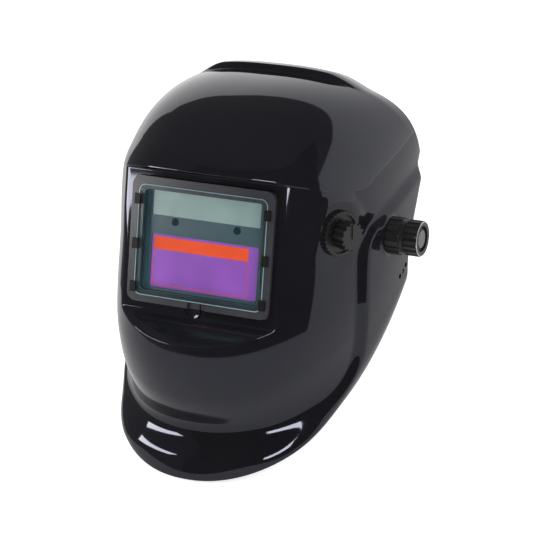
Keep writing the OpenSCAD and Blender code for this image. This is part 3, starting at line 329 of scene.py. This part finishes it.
def ease(t):
    c = np.clip(t, 0, 1)
    return c * c * (3 - 2 * c)


def soft_min(a, b, k):
    h = np.clip(0.5 + 0.5 * (b - a) / k, 0, 1)
    return b * (1 - h) + a * h - k * h * (1 - h)


def soft_max(a, b, k):
    return -soft_min(-a, -b, k)


class Curve:
    """A smooth curve through points, by the length of the straight path between them."""

    def __init__(self, points):
        self.points = points
        self.knots = np.concatenate([[0], np.cumsum(np.linalg.norm(np.diff(points, axis=0), axis=1))])
        index = np.arange(len(points))
        before = np.maximum(index - 1, 0)
        after = np.minimum(index + 1, len(points) - 1)
        self.slopes = (points[after] - points[before]) / (self.knots[after] - self.knots[before])[:, None]

    def at(self, u):
        i = np.clip(np.searchsorted(self.knots, u, side="left") - 1, 0, len(self.knots) - 2)
        h = (self.knots[i + 1] - self.knots[i])[:, None]
        q = (u - self.knots[i])[:, None] / h
        return ((1 + 2 * q) * (1 - q) ** 2 * self.points[i] + q * (1 - q) ** 2 * h * self.slopes[i]
                + q * q * (3 - 2 * q) * self.points[i + 1] - q * q * (1 - q) * h * self.slopes[i + 1])


FRONT = Curve(PROFILE)
KNOTS = FRONT.knots
STEP_CURVE = Curve(STEP_LINE)
STEP_PATH = STEP_CURVE.at(np.linspace(0, STEP_CURVE.knots[-1], STEP_POINTS))


def step_gap(y, z):
    """Signed distance from the step line, seen from the side."""
    nearest = np.full(y.shape, np.inf)
    sign = np.ones(y.shape)
    for a, b in zip(STEP_PATH[:-1], STEP_PATH[1:]):
        d = b - a
        t = np.clip(((y - a[0]) * d[0] + (z - a[1]) * d[1]) / (d @ d), 0, 1)
        r = np.hypot(y - a[0] - t * d[0], z - a[1] - t * d[1])
        s = np.sign(d[0] * (z - a[1]) - d[1] * (y - a[0]))
        sign = np.where(r < nearest, s, sign)
        nearest = np.minimum(r, nearest)
    return nearest * sign


def skin(u, angle, side, inset):
    """Points of the shell at rows u and angles, on one side, a given depth inside its outer face."""
    total = KNOTS[-1]
    f = FRONT.at(u)
    tangent = FRONT.at(np.minimum(u + TANGENT_REACH, total)) - FRONT.at(np.maximum(u - TANGENT_REACH, 0))
    normal = np.stack([-tangent[:, 1], tangent[:, 0]], 1) / np.linalg.norm(tangent, axis=1)[:, None]
    t = (u / total) ** REAR_LEAD
    rear = np.outer((1 - t) ** 2, EAR_LOW) + np.outer(2 * t * (1 - t), EAR_PULL) + np.outer(t ** 2, EAR_HIGH)
    half = (HALF_EYE - (HALF_EYE - HALF_CHIN) * np.maximum(0, 1 - t / CHIN_RISE) ** 2
            - (HALF_EYE - HALF_CROWN) * np.maximum(0, (t - WIDEST) / (1 - WIDEST)) ** 2)
    arch = np.maximum(0, (t - ARCH_START) / (1 - ARCH_START)) ** 2
    n = (SQUARE_FACE + (SQUARE_CROWN - SQUARE_FACE) * arch)[:, None]
    bow = (JAW_BOW * np.maximum(0, 1 - t / BOW_REACH) ** BOW_FADE)[:, None]
    a = angle[None, :]
    s = 1 - np.maximum(np.cos(a), 0) ** (2 / n)
    f = f - inset * normal
    arc = bow * 4 * s * (1 - s)
    y = f[:, :1] + (rear[:, :1] - f[:, :1]) * s + arc * BOW_BACK
    z = f[:, 1:] + (rear[:, 1:] - f[:, 1:]) * s - arc * BOW_DOWN
    x = (half[:, None] - inset) * np.maximum(np.sin(a), 0) ** (2 / n)
    # flange step and chin flare
    d = step_gap(y, z)
    step = STEP_H * ease(d / STEP_RUN)
    chin = FLARE_OUT * ease((d + FLARE_LEAD) / FLARE_RUN) - FLARE_TUCK * ease((d - TUCK_FROM) / TUCK_RUN)
    w = ease((-y - CHIN_FROM) / CHIN_BLEND)
    push = step * (1 - w) + chin * w
    nx, ny = x / HALF_EYE ** 2, np.minimum(y, 0) / DEPTH_SCALE ** 2
    size = np.hypot(nx, ny) + TINY
    x, y = x + push * nx / size, y + push * ny / size
    # flat seats for the pivot and the shade dial
    k = ease((PIVOT_FLAT + PIVOT_BLEND - np.hypot(y, z)) / PIVOT_BLEND)
    x = x + (PIVOT_SEAT - inset - x) * k
    p = np.stack([x, y, z], -1)
    if side > 0:
        axis = np.array([math.cos(SHADE_YAW), -math.sin(SHADE_YAW), 0])
        v = p - SHADE_AT
        along = v @ axis
        r = np.linalg.norm(v - along[..., None] * axis, axis=-1)
        p = p - ((along + inset) * ease((SHADE_FLAT + SHADE_BLEND - r) / SHADE_BLEND))[..., None] * axis
    # window recess
    x, y, z = p[..., 0], p[..., 1], p[..., 2]
    flat = WINDOW_Y + (z - WINDOW_Z) * math.tan(WINDOW_PITCH) + inset / math.cos(WINDOW_PITCH)
    flank = flat + (x - RECESS_HALF) * FLANK_SLOPE + inset * (math.hypot(1, FLANK_SLOPE) - 1)
    sill = SILL_AT[0] + (z - SILL_AT[1] + inset * math.hypot(1, SILL_FALL)) / SILL_FALL
    top = BROW_AT[0] - (z - BROW_AT[1] - inset * math.hypot(1, BROW_RISE)) / BROW_RISE
    back = soft_max(flat, flank, max(1, FLANK_ROUND - FLANK_SLOPE * inset))
    p[..., 1] = soft_max(y, soft_min(soft_min(back, sill, INNER_ROUND), top, INNER_ROUND), EDGE_ROUND)
    # crest on the crown
    rise = (CREST_H * ease((p[..., 1] - CREST_Y - p[..., 0] ** 2 / CREST_CURVE) / CREST_EDGE)
            * ease((CREST_HALF - p[..., 0]) / CREST_END))
    p[..., 2] += np.where(p[..., 2] > CREST_FLOOR, rise, 0)
    p[..., 0] *= side
    return p


def shell_mesh():
    """Points and faces of the shell, and for each face 1 if it is inside and 0 if not."""
    u = np.concatenate([np.linspace(KNOTS[i], KNOTS[i + 1], n, endpoint=False)
                        for i, n in enumerate(SPAN_ROWS)] + [KNOTS[-1:]])
    rows = len(u)
    angle = np.linspace(0, math.pi / 2, HALF_COLS + 1)
    skins = []
    for inset in (0, WALL):
        right, left = skin(u, angle[:0:-1], -1, inset), skin(u, angle, 1, inset)
        skins.append(np.concatenate([right, left], axis=1))
    cols = skins[0].shape[1]
    points = np.concatenate([s.reshape(-1, 3) for s in skins])
    r, c = np.meshgrid(np.arange(rows - 1), np.arange(cols - 1), indexing="ij")
    a = (r * cols + c).ravel()
    outer = np.stack([a, a + 1, a + cols + 1, a + cols], 1)
    inner = outer[:, ::-1] + rows * cols
    loop = np.concatenate([
        np.arange(cols - 1), (np.arange(rows - 1) * cols + cols - 1),
        (rows - 1) * cols + np.arange(cols - 1, 0, -1), np.arange(rows - 1, 0, -1) * cols])
    after = np.roll(loop, -1)
    rim = np.stack([after, loop, loop + rows * cols, after + rows * cols], 1)
    inside = [0] * len(outer) + [1] * len(inner) + [0] * len(rim)
    return points, np.concatenate([outer, inner, rim]).tolist(), inside


def cutter(points, faces, matrix):
    piece = mesh_piece("cutter", points, faces, gloss_black)
    return place(piece, matrix)


def shell_cutters():
    """One piece that fills the window's opening and all holes of the shell."""
    through = (-WALL - WINDOW_SPARE, WINDOW_SPARE)
    made = [cutter(*prism(rounded(OPENING_W, OPENING_H, OPENING_R), *through), WINDOW_FACE)]
    for sx in (-1, 1):
        for sz in (-1, 1):
            hole = circle(BOSS_D / 2, HOLE_STEPS, sx * SCREW_X, sz * SCREW_Z)
            made.append(cutter(*prism(hole, *through), WINDOW_FACE))
    through = (-WALL - SIDE_SPARE, WALL + SIDE_SPARE)
    for side in (-1, 1):
        turn = Matrix.Translation((side * PIVOT_SEAT * MM, 0, 0)) @ Matrix.Rotation(math.pi / 2, 4, "Y")
        made.append(cutter(*prism(circle(SHOULDER_D / 2), *through), turn))
        for i in range(TILT_HOLES):
            a = math.radians(TILT_FIRST - i * TILT_STEP)
            hole = circle(TILT_D / 2, HOLE_STEPS, -TILT_R * math.sin(a), TILT_R * math.cos(a))
            made.append(cutter(*prism(hole, *through), turn))
    made.append(cutter(*prism(circle(BUSHING_D / 2), -WALL - SIDE_SPARE, SIDE_SPARE), shade_matrix()))
    bpy.ops.object.select_all(action="DESELECT")
    for piece in made:
        piece.select_set(True)
    bpy.context.view_layer.objects.active = made[0]
    bpy.ops.object.join()
    return made[0]


def applied(piece):
    """Replaces a piece's mesh by what its modifiers make of it."""
    shaped = piece.evaluated_get(bpy.context.evaluated_depsgraph_get())
    data = bpy.data.meshes.new_from_object(shaped)
    piece.modifiers.clear()
    piece.data = data


def build_shell():
    points, faces, inside = shell_mesh()
    piece = mesh_piece("visor_shell", points, faces, gloss_black, NEVER_SHARP_DEG)
    piece.data.materials.append(soft_black)
    piece.data.polygons.foreach_set("material_index", inside)
    rim = piece.modifiers.new("rim", "BEVEL")
    rim.width = RIM_ROUND * MM
    rim.segments = RIM_SEGMENTS
    rim.limit_method = "ANGLE"
    rim.angle_limit = math.radians(RIM_DEG)
    applied(piece)
    tool = shell_cutters()
    cut = piece.modifiers.new("cut", "BOOLEAN")
    cut.object = tool
    cut.solver = "MANIFOLD"
    applied(piece)
    bpy.data.objects.remove(tool)
    smooth(piece, SHARP_DEG)
    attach(piece, "visor")
    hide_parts("shell")


build_shell()


# Finishes and rounded edges of the solids

for name, paint, width in (
        ("lens_frame", frame_grey, 0.7), ("lens_clips", clip_black, 0.35), ("cover_lens", lens_teal, 0.4),
        ("frame_screws", steel, 0.2), ("filter_holder", soft_black, 0.5),
        ("filter_housing_front", housing_teal, 0.4), ("filter_housing_back", soft_black, 0.5),
        ("uv_ir_filter", dark_glass, 0.15), ("lcd_shutter", dark_glass, 0.15),
        ("filter_film", film_violet, 0.05), ("solar_panel", cell_grey, 0.15),
        ("arc_sensors", sensor_dark, 0.2), ("circuit_board", board_green, 0.1),
        ("coin_cell", steel, 0.3), ("inner_cover_lens", clear_inner, 0.3),
        ("filter_latch_left", red_plastic, 0.3), ("filter_latch_right", red_plastic, 0.3),
        ("sensitivity_dial", satin_black, 0.15), ("delay_dial", satin_black, 0.15),
        ("shade_base", satin_black, 0.15), ("shade_nut", steel, 0.2), ("potentiometer", pot_metal, 0.3),
        ("shade_knob", satin_black, 0.25), ("tilt_limiter_left", soft_black, 0.4),
        ("tilt_limiter_right", soft_black, 0.4), ("knob_collar", satin_black, 0.25),
        ("knob_cap", cap_grey, 0.3), ("pivot_nut", satin_black, 0.15),
        ("pivot_bolt_left", soft_black, 0.3), ("pivot_bolt_right", soft_black, 0.3),
        ("friction_washers", friction_red, 0.15), ("side_bracket_left", soft_black, 0.5),
        ("side_bracket_right", soft_black, 0.5), ("band_rivets", steel, 0.3), ("headband", soft_black, 0.5),
        ("crown_strap_left", soft_black, 0.4), ("crown_strap_right", soft_black, 0.4),
        ("crown_pins", satin_black, 0.4), ("band_keepers", soft_black, 0.4),
        ("rear_strap_left", soft_black, 0.4), ("rear_strap_right", soft_black, 0.4),
        ("ratchet_housing", soft_black, 0.5), ("ratchet_cover", satin_black, 0.5),
        ("cover_screws", steel, 0.2), ("pinion", steel, 0.1), ("ratchet_knob", satin_black, 0.5)):
    dress(name, paint, width)


# Print on the film over the filter: a band and a thin outline

FILM_LEFT, FILM_RIGHT = -43, 36.5
BAND_LOW, BAND_HIGH, OUTLINE_LOW, OUTLINE_W = -7.7, 2.0, -34.5, 0.7
PRINT_T = 0.05


def printed(name, x0, x1, z0, z1, paint):
    """A thin rectangle on the film's face."""
    outline = [(x0, z0), (x1, z0), (x1, z1), (x0, z1)]
    piece = mesh_piece(name, *prism(outline, -FILM_DEPTH, -FILM_DEPTH + PRINT_T), paint)
    place(piece, WINDOW_FACE)
    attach(piece, "visor")


printed("film_band", FILM_LEFT, FILM_RIGHT, BAND_LOW, BAND_HIGH, film_orange)
printed("film_line_left", FILM_LEFT, FILM_LEFT + OUTLINE_W, OUTLINE_LOW, BAND_LOW, film_red)
printed("film_line_right", FILM_RIGHT - OUTLINE_W, FILM_RIGHT, OUTLINE_LOW, BAND_LOW, film_red)
printed("film_line_low", FILM_LEFT, FILM_RIGHT, OUTLINE_LOW - OUTLINE_W, OUTLINE_LOW, film_red)


def ring_piece(name, outer, inner, low, high, paint, matrix, body):
    """A flat ring between two outlines of as many points."""
    n = len(outer)
    points = [(x, y, h) for h in (low, high) for line in (outer, inner) for x, y in line]
    faces = []
    for i in range(n):
        j = (i + 1) % n
        faces += [(2 * n + i, 2 * n + j, 3 * n + j, 3 * n + i), (j, i, n + i, n + j),
                  (i, j, 2 * n + j, 2 * n + i), (n + j, n + i, 3 * n + i, 3 * n + j)]
    piece = mesh_piece(name, points, faces, paint)
    place(piece, matrix)
    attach(piece, body)


# Painted highlight on the cover lens: a lighter ring along its edge stands for the light caught on the
# lens's rim

LENS_R, EDGE_INSET, EDGE_W, EDGE_PROUD, EDGE_SINK = 6, 0.2, 0.6, 0.12, 0.3


def lens_outline(inset):
    return rounded(LENS_W - 2 * inset, LENS_H - 2 * inset, LENS_R - inset)


lens_drop = Matrix.Translation((0, -LENS_DROP * MM, 0))
ring_piece("lens_rim_highlight", lens_outline(EDGE_INSET), lens_outline(EDGE_INSET + EDGE_W), FRAME_T - EDGE_SINK,
           FRAME_T + EDGE_PROUD, lens_rim_highlight, WINDOW_FACE @ lens_drop, "visor")


# Half-round thumb tab that hangs from the frame's notch

TAB_X, TAB_HALF, TAB_TOP, TAB_LOW, TAB_WALL = -4, 7.2, -43.4, -56.5, 1.1
TAB_BACK, TAB_FLOOR, TAB_FRONT = 0.3, 0.7, 1.4
TAB_EDGE, TAB_STEPS = 0.3, 24


def tab_outline(inset):
    """Outline of the tab: straight sides and a half-round lower end."""
    r = TAB_HALF - inset
    points = [(TAB_X - r, TAB_TOP)]
    for i in range(TAB_STEPS + 1):
        a = math.pi * (1 + i / TAB_STEPS)
        points.append((TAB_X + r * math.cos(a), TAB_LOW + TAB_HALF + r * math.sin(a)))
    return points + [(TAB_X + r, TAB_TOP)]


def thumb_tab():
    """A shallow scoop: a half-round rim around a sunk floor."""
    rings = ((0, TAB_BACK), (0, TAB_FRONT), (TAB_WALL, TAB_FRONT), (TAB_WALL, TAB_FLOOR))
    points = [(x, y, h) for inset, h in rings for x, y in tab_outline(inset)]
    n = len(points) // len(rings)
    faces = [tuple(reversed(range(n))), tuple(range(3 * n, 4 * n))]
    for low in (0, n, 2 * n):
        for i in range(n):
            j = (i + 1) % n
            faces.append((low + i, low + j, low + n + j, low + n + i))
    piece = mesh_piece("thumb_tab", points, faces, gloss_black, TAB_SHARP_DEG)
    edge = piece.modifiers.new("edge", "BEVEL")
    edge.width = TAB_EDGE * MM
    edge.segments = EDGE_SEGMENTS
    edge.limit_method = "ANGLE"
    applied(piece)
    shade(piece, gloss_black, TAB_SHARP_DEG)
    place(piece, WINDOW_FACE)
    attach(piece, "visor")


thumb_tab()


# Tension knob with its ribs, sunk face and bright ring

TENSION_START, TENSION_L, TENSION_R, TENSION_RIBS, TENSION_GROOVE = 124.8, 12, 14, 18, 0.9
HEEL_IN, HEEL_H, TOE_IN, TOE_H, RIM_SINK = 1.2, 1.0, 0.6, 1.2, 0.3
BORE_R, FACE_R, FACE_SINK, FACE_EDGE = 4.05, 10, 2.5, 0.3
RING_IN, RING_OUT, RING_SINK, RING_EDGE_R, RING_EDGE_H = 12.9, 13.4, 0.5, 0.15, 0.1
RIB_HALF, RIB_RUN, RIB_STEPS, RING_STEPS = 0.18, 0.16, 10, 96


def ribs(count, depth, marked):
    """Ripple that cuts grooves into the marked points of a turned profile."""
    def ripple(a, k):
        share = (a / (2 * math.pi) * count) % 1
        groove = float(ease((abs(share - 0.5) - RIB_HALF) / RIB_RUN))
        return -depth * groove if k in marked else 0
    return ripple


def turned(name, profile, steps, ripple, paint, sharp_deg=SHARP_DEG):
    """A turned piece of the tension knob."""
    piece = mesh_piece(name, *lathe(profile, steps, ripple), paint, sharp_deg)
    turn = Matrix.Translation((TENSION_START * MM, 0, 0)) @ Matrix.Rotation(math.pi / 2, 4, "Y")
    place(piece, turn)
    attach(piece, "tension_knob")
    return piece


rim_z, face_z = TENSION_L - RIM_SINK, TENSION_L - FACE_SINK
grip_profile = [
    (BORE_R, 0), (TENSION_R - HEEL_IN, 0), (TENSION_R, HEEL_H), (TENSION_R, TENSION_L - TOE_H),
    (TENSION_R - TOE_IN, rim_z), (FACE_R + FACE_EDGE, rim_z), (FACE_R, rim_z - FACE_EDGE),
    (FACE_R, face_z), (BORE_R, face_z)]
grip_ribs = ribs(TENSION_RIBS, TENSION_GROOVE, marked=(2, 3))
grip = turned("tension_grip", grip_profile, TENSION_RIBS * RIB_STEPS, grip_ribs, satin_black,
              KNOB_SHARP_DEG)
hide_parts("tension_knob")
ring_low, ring_edge = TENSION_L - RING_SINK, TENSION_L - RING_EDGE_H
ring_profile = [
    (RING_IN, ring_low), (RING_OUT, ring_low), (RING_OUT, ring_edge), (RING_OUT - RING_EDGE_R, TENSION_L),
    (RING_IN + RING_EDGE_R, TENSION_L), (RING_IN, ring_edge)]
turned("knob_ring", ring_profile, RING_STEPS, None, chrome)


# Soft pads of the headgear

PAD_VOXEL, PAD_PRESSURE, PAD_FRAMES, PAD_FILL = 3.0, 4, 20, 0.6
# Share of its swell that a pad may sink by
PAD_SINK = 0.3


def soft_pad(name, node, swell, toward, body):
    """A foam pad from its solid: remeshed, blown up a little as cloth, and rounded.
    toward gives, for the pad's points, the direction that each may swell in."""
    piece = bpy.data.objects.new(name, nodes[node].data.copy())
    scene.collection.objects.link(piece)
    weld = piece.modifiers.new("weld", "WELD")
    weld.merge_threshold = WELD_REACH
    remesh = piece.modifiers.new("remesh", "REMESH")
    remesh.mode = "VOXEL"
    remesh.voxel_size = PAD_VOXEL * MM
    applied(piece)
    rest = np.array([v.co for v in piece.data.vertices])
    out = toward(rest)
    cloth = piece.modifiers.new("cloth", "CLOTH")
    cloth.settings.use_pressure = True
    cloth.settings.uniform_pressure_force = PAD_PRESSURE
    cloth.settings.effector_weights.gravity = 0
    cloth.point_cache.frame_start = 1
    cloth.point_cache.frame_end = PAD_FRAMES
    for step in range(1, PAD_FRAMES + 1):
        scene.frame_set(step)
    shaped = piece.evaluated_get(bpy.context.evaluated_depsgraph_get())
    moved = np.array([v.co for v in shaped.data.vertices])
    piece.modifiers.clear()
    scene.frame_set(1)
    travel = np.clip(((moved - rest) * out).sum(1), -PAD_SINK * swell * MM, swell * MM)
    rest = rest + travel[:, None] * out
    piece.data.vertices.foreach_set("co", rest.astype(np.float32).ravel())
    rounder = piece.modifiers.new("smooth", "SUBSURF")
    rounder.levels = rounder.render_levels = 1
    applied(piece)
    shade(piece, foam_black, FOAM_SHARP_DEG)
    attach(piece, body)
    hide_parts(node)


def to_band(points):
    return np.array([band_matrix().inverted() @ Vector(p) for p in points])


def from_band(vectors):
    turn = np.array(band_matrix().to_3x3())
    return vectors @ turn.T


def head_side(points):
    """From the sweatband towards the head."""
    local = to_band(points)
    inward = np.stack([-local[:, 0], -BAND_STRAIGHT * MM - local[:, 1], np.zeros(len(local))], 1)
    return from_band(inward / np.linalg.norm(inward, axis=1)[:, None])


def nape_side(points):
    """From the nape pad towards the head."""
    return from_band(np.tile((0.0, -1.0, 0.0), (len(points), 1)))


soft_pad("sweat_foam", "sweatband", swell=1.2, toward=head_side, body="headgear")
soft_pad("nape_foam", "nape_pad", swell=1.5, toward=nape_side, body="rear_band")


# Light, floor and camera

def area_light(name, at, aim, size, power):
    lamp = bpy.data.lights.new(name, "AREA")
    lamp.shape = "RECTANGLE"
    lamp.size, lamp.size_y = size
    lamp.energy = power
    made = bpy.data.objects.new(name, lamp)
    scene.collection.objects.link(made)
    made.location = at
    made.rotation_euler = (Vector(aim) - Vector(at)).to_track_quat("-Z", "Y").to_euler()
    return made


def around(azimuth, elevation, distance):
    """A place seen from the origin: azimuth from the front towards the wearer's left, in degrees."""
    a, e = math.radians(azimuth), math.radians(elevation)
    return Vector((math.sin(a) * math.cos(e), -math.cos(a) * math.cos(e), math.sin(e))) * distance


SOFTBOX_AWAY, SOFTBOX_AIM = 0.47, (0, -0.05, -0.1)
left_at = around(azimuth=-45, elevation=2, distance=SOFTBOX_AWAY)
right_at = around(azimuth=46, elevation=7, distance=SOFTBOX_AWAY)
area_light("left_softbox", left_at, SOFTBOX_AIM, size=(0.3, 0.06), power=0.84)
area_light("right_softbox", right_at, SOFTBOX_AIM, size=(0.16, 0.06), power=0.48)
top_light = area_light("top_softbox", at=(0, -0.2, 1.4), aim=(0, 0, 0), size=(1.2, 0.8), power=13)
top_light.visible_glossy = False


def seen_by(tree):
    """One for camera, glossy and transmission rays."""
    path = tree.nodes.new("ShaderNodeLightPath")
    total = path.outputs["Is Camera Ray"]
    for kind in ("Is Glossy Ray", "Is Transmission Ray"):
        higher = tree.nodes.new("ShaderNodeMath")
        higher.operation = "MAXIMUM"
        link(tree, total, higher.inputs[0])
        link(tree, path.outputs[kind], higher.inputs[1])
        total = higher.outputs[0]
    return total


# Strength of the sky as light, and as it is seen
SKY_LIGHT, SKY_SEEN = 0.45, 1.0
world = bpy.data.worlds.new("studio")
scene.world = world
world.use_nodes = True
sky = world.node_tree
strength = sky.nodes.new("ShaderNodeMapRange")
strength.inputs["To Min"].default_value = SKY_LIGHT
strength.inputs["To Max"].default_value = SKY_SEEN
link(sky, seen_by(sky), strength.inputs["Value"])
background = sky.nodes["Background"]
background.inputs["Color"].default_value = WHITE
link(sky, strength.outputs["Result"], background.inputs["Strength"])

FLOOR_HALF, FLOOR_GAP, FLOOR_GLOW = 6000, 0.5, 0.7
FLOOR_Z = cad_low.z - FLOOR_GAP * MM


def corners(xs, ys, z):
    return [(xs[0], ys[0], z), (xs[1], ys[0], z), (xs[1], ys[1], z), (xs[0], ys[1], z)]


floor_white = material("floor_white", (0.85, 0.85, 0.85), rough=0.9, spread=0.01, relief=0.0)
floor_span = (-FLOOR_HALF, FLOOR_HALF)
floor = mesh_piece("floor", corners(floor_span, floor_span, 0), [(0, 1, 2, 3)], floor_white)
floor.location.z = FLOOR_Z
floor_tree = floor_white.node_tree
lift = floor_tree.nodes.new("ShaderNodeMapRange")
lift.inputs["To Max"].default_value = FLOOR_GLOW
link(floor_tree, seen_by(floor_tree), lift.inputs["Value"])
floor_shader = floor_tree.nodes["Principled BSDF"]
floor_shader.inputs["Emission Color"].default_value = WHITE
link(floor_tree, lift.outputs["Result"], floor_shader.inputs["Emission Strength"])


# Painted reflections, which only gloss sees and which light nothing: a curved wall in front, dim at the left
# and dark at the right, a dim ceiling and a grey card on the floor

FLAG_R, FLAG_H, FLAG_STEPS = 500, 450, 24
FLAG_FROM, FLAG_MID, FLAG_TO, FLAG_LEAN = -113, -20, 82, 25
CEILING_X, CEILING_Y = (-900, 1300), (-700, 300)
CARD_SPAN, CARD_LIFT = (-4000, 4000), 0.3


def card(name, glow):
    """A matt black finish with an even glow, for sheets seen only in reflections: painted reflections."""
    return material(name, (0.004, 0.004, 0.004), rough=0.9, Emission_Color=WHITE, Emission_Strength=glow)


reflection_dark = card("reflection_dark", 0.02)
reflection_dim = card("reflection_dim", 0.1)
reflection_grey = card("reflection_grey", 0.75)


# A sheet that only reflections show: it is hidden from the camera, casts no shadow and lights nothing
def flag(name, points, faces, paint):
    made = mesh_piece(name, points, faces, paint)
    made.visible_camera = False
    made.visible_diffuse = False
    made.visible_shadow = False
    made.visible_transmission = False


def sheet(name, xs, ys, z, paint):
    flag(name, corners(xs, ys, z), [(0, 1, 2, 3)], paint)


def wall(name, start, end, lean, paint):
    """A part of the curved wall, between two azimuths, with a leaning end."""
    points = []
    for stop, height in ((end, FLOOR_Z / MM), (end + lean, FLAG_H)):
        for i in range(FLAG_STEPS + 1):
            at = around(start + (stop - start) * i / FLAG_STEPS, 0, FLAG_R)
            points.append((at.x, at.y, height))
    above = FLAG_STEPS + 1
    flag(name, points, [(i, i + 1, above + i + 1, above + i) for i in range(FLAG_STEPS)], paint)


wall("left_flag", FLAG_FROM, FLAG_MID, 0, reflection_dim)
wall("front_flag", FLAG_MID, FLAG_TO, FLAG_LEAN, reflection_dark)
sheet("ceiling_flag", CEILING_X, CEILING_Y, FLAG_H, reflection_dim)
sheet("floor_card", CARD_SPAN, CARD_SPAN, FLOOR_Z / MM + CARD_LIFT, reflection_grey)


# The photograph's view: direction in degrees, distance, and the pixel that the origin falls on

VIEW_AZIMUTH, VIEW_ELEVATION, VIEW_ROLL = 25.8, 15.8, 0.3
VIEW_DISTANCE, PIXELS_PER_MM, PICTURE, SENSOR = 1700, 1.27, 533, 36
ORIGIN_PX = (261.2, 217)
back = around(VIEW_AZIMUTH, VIEW_ELEVATION, 1)
right = Vector((math.cos(math.radians(VIEW_AZIMUTH)), math.sin(math.radians(VIEW_AZIMUTH)), 0))
up = back.cross(right)
lens = bpy.data.cameras.new("camera")
lens.sensor_width = SENSOR
lens.lens = PIXELS_PER_MM * VIEW_DISTANCE / PICTURE * SENSOR
lens.shift_x = (PICTURE / 2 - ORIGIN_PX[0]) / PICTURE
lens.shift_y = (ORIGIN_PX[1] - PICTURE / 2) / PICTURE
camera = bpy.data.objects.new("camera", lens)
scene.collection.objects.link(camera)
axes = Matrix((right, up, back)).transposed().to_4x4()
roll = Matrix.Rotation(math.radians(VIEW_ROLL), 4, "Z")
camera.matrix_world = Matrix.Translation(back * VIEW_DISTANCE * MM) @ axes @ roll
scene.camera = camera
scene.view_settings.view_transform = "Standard"
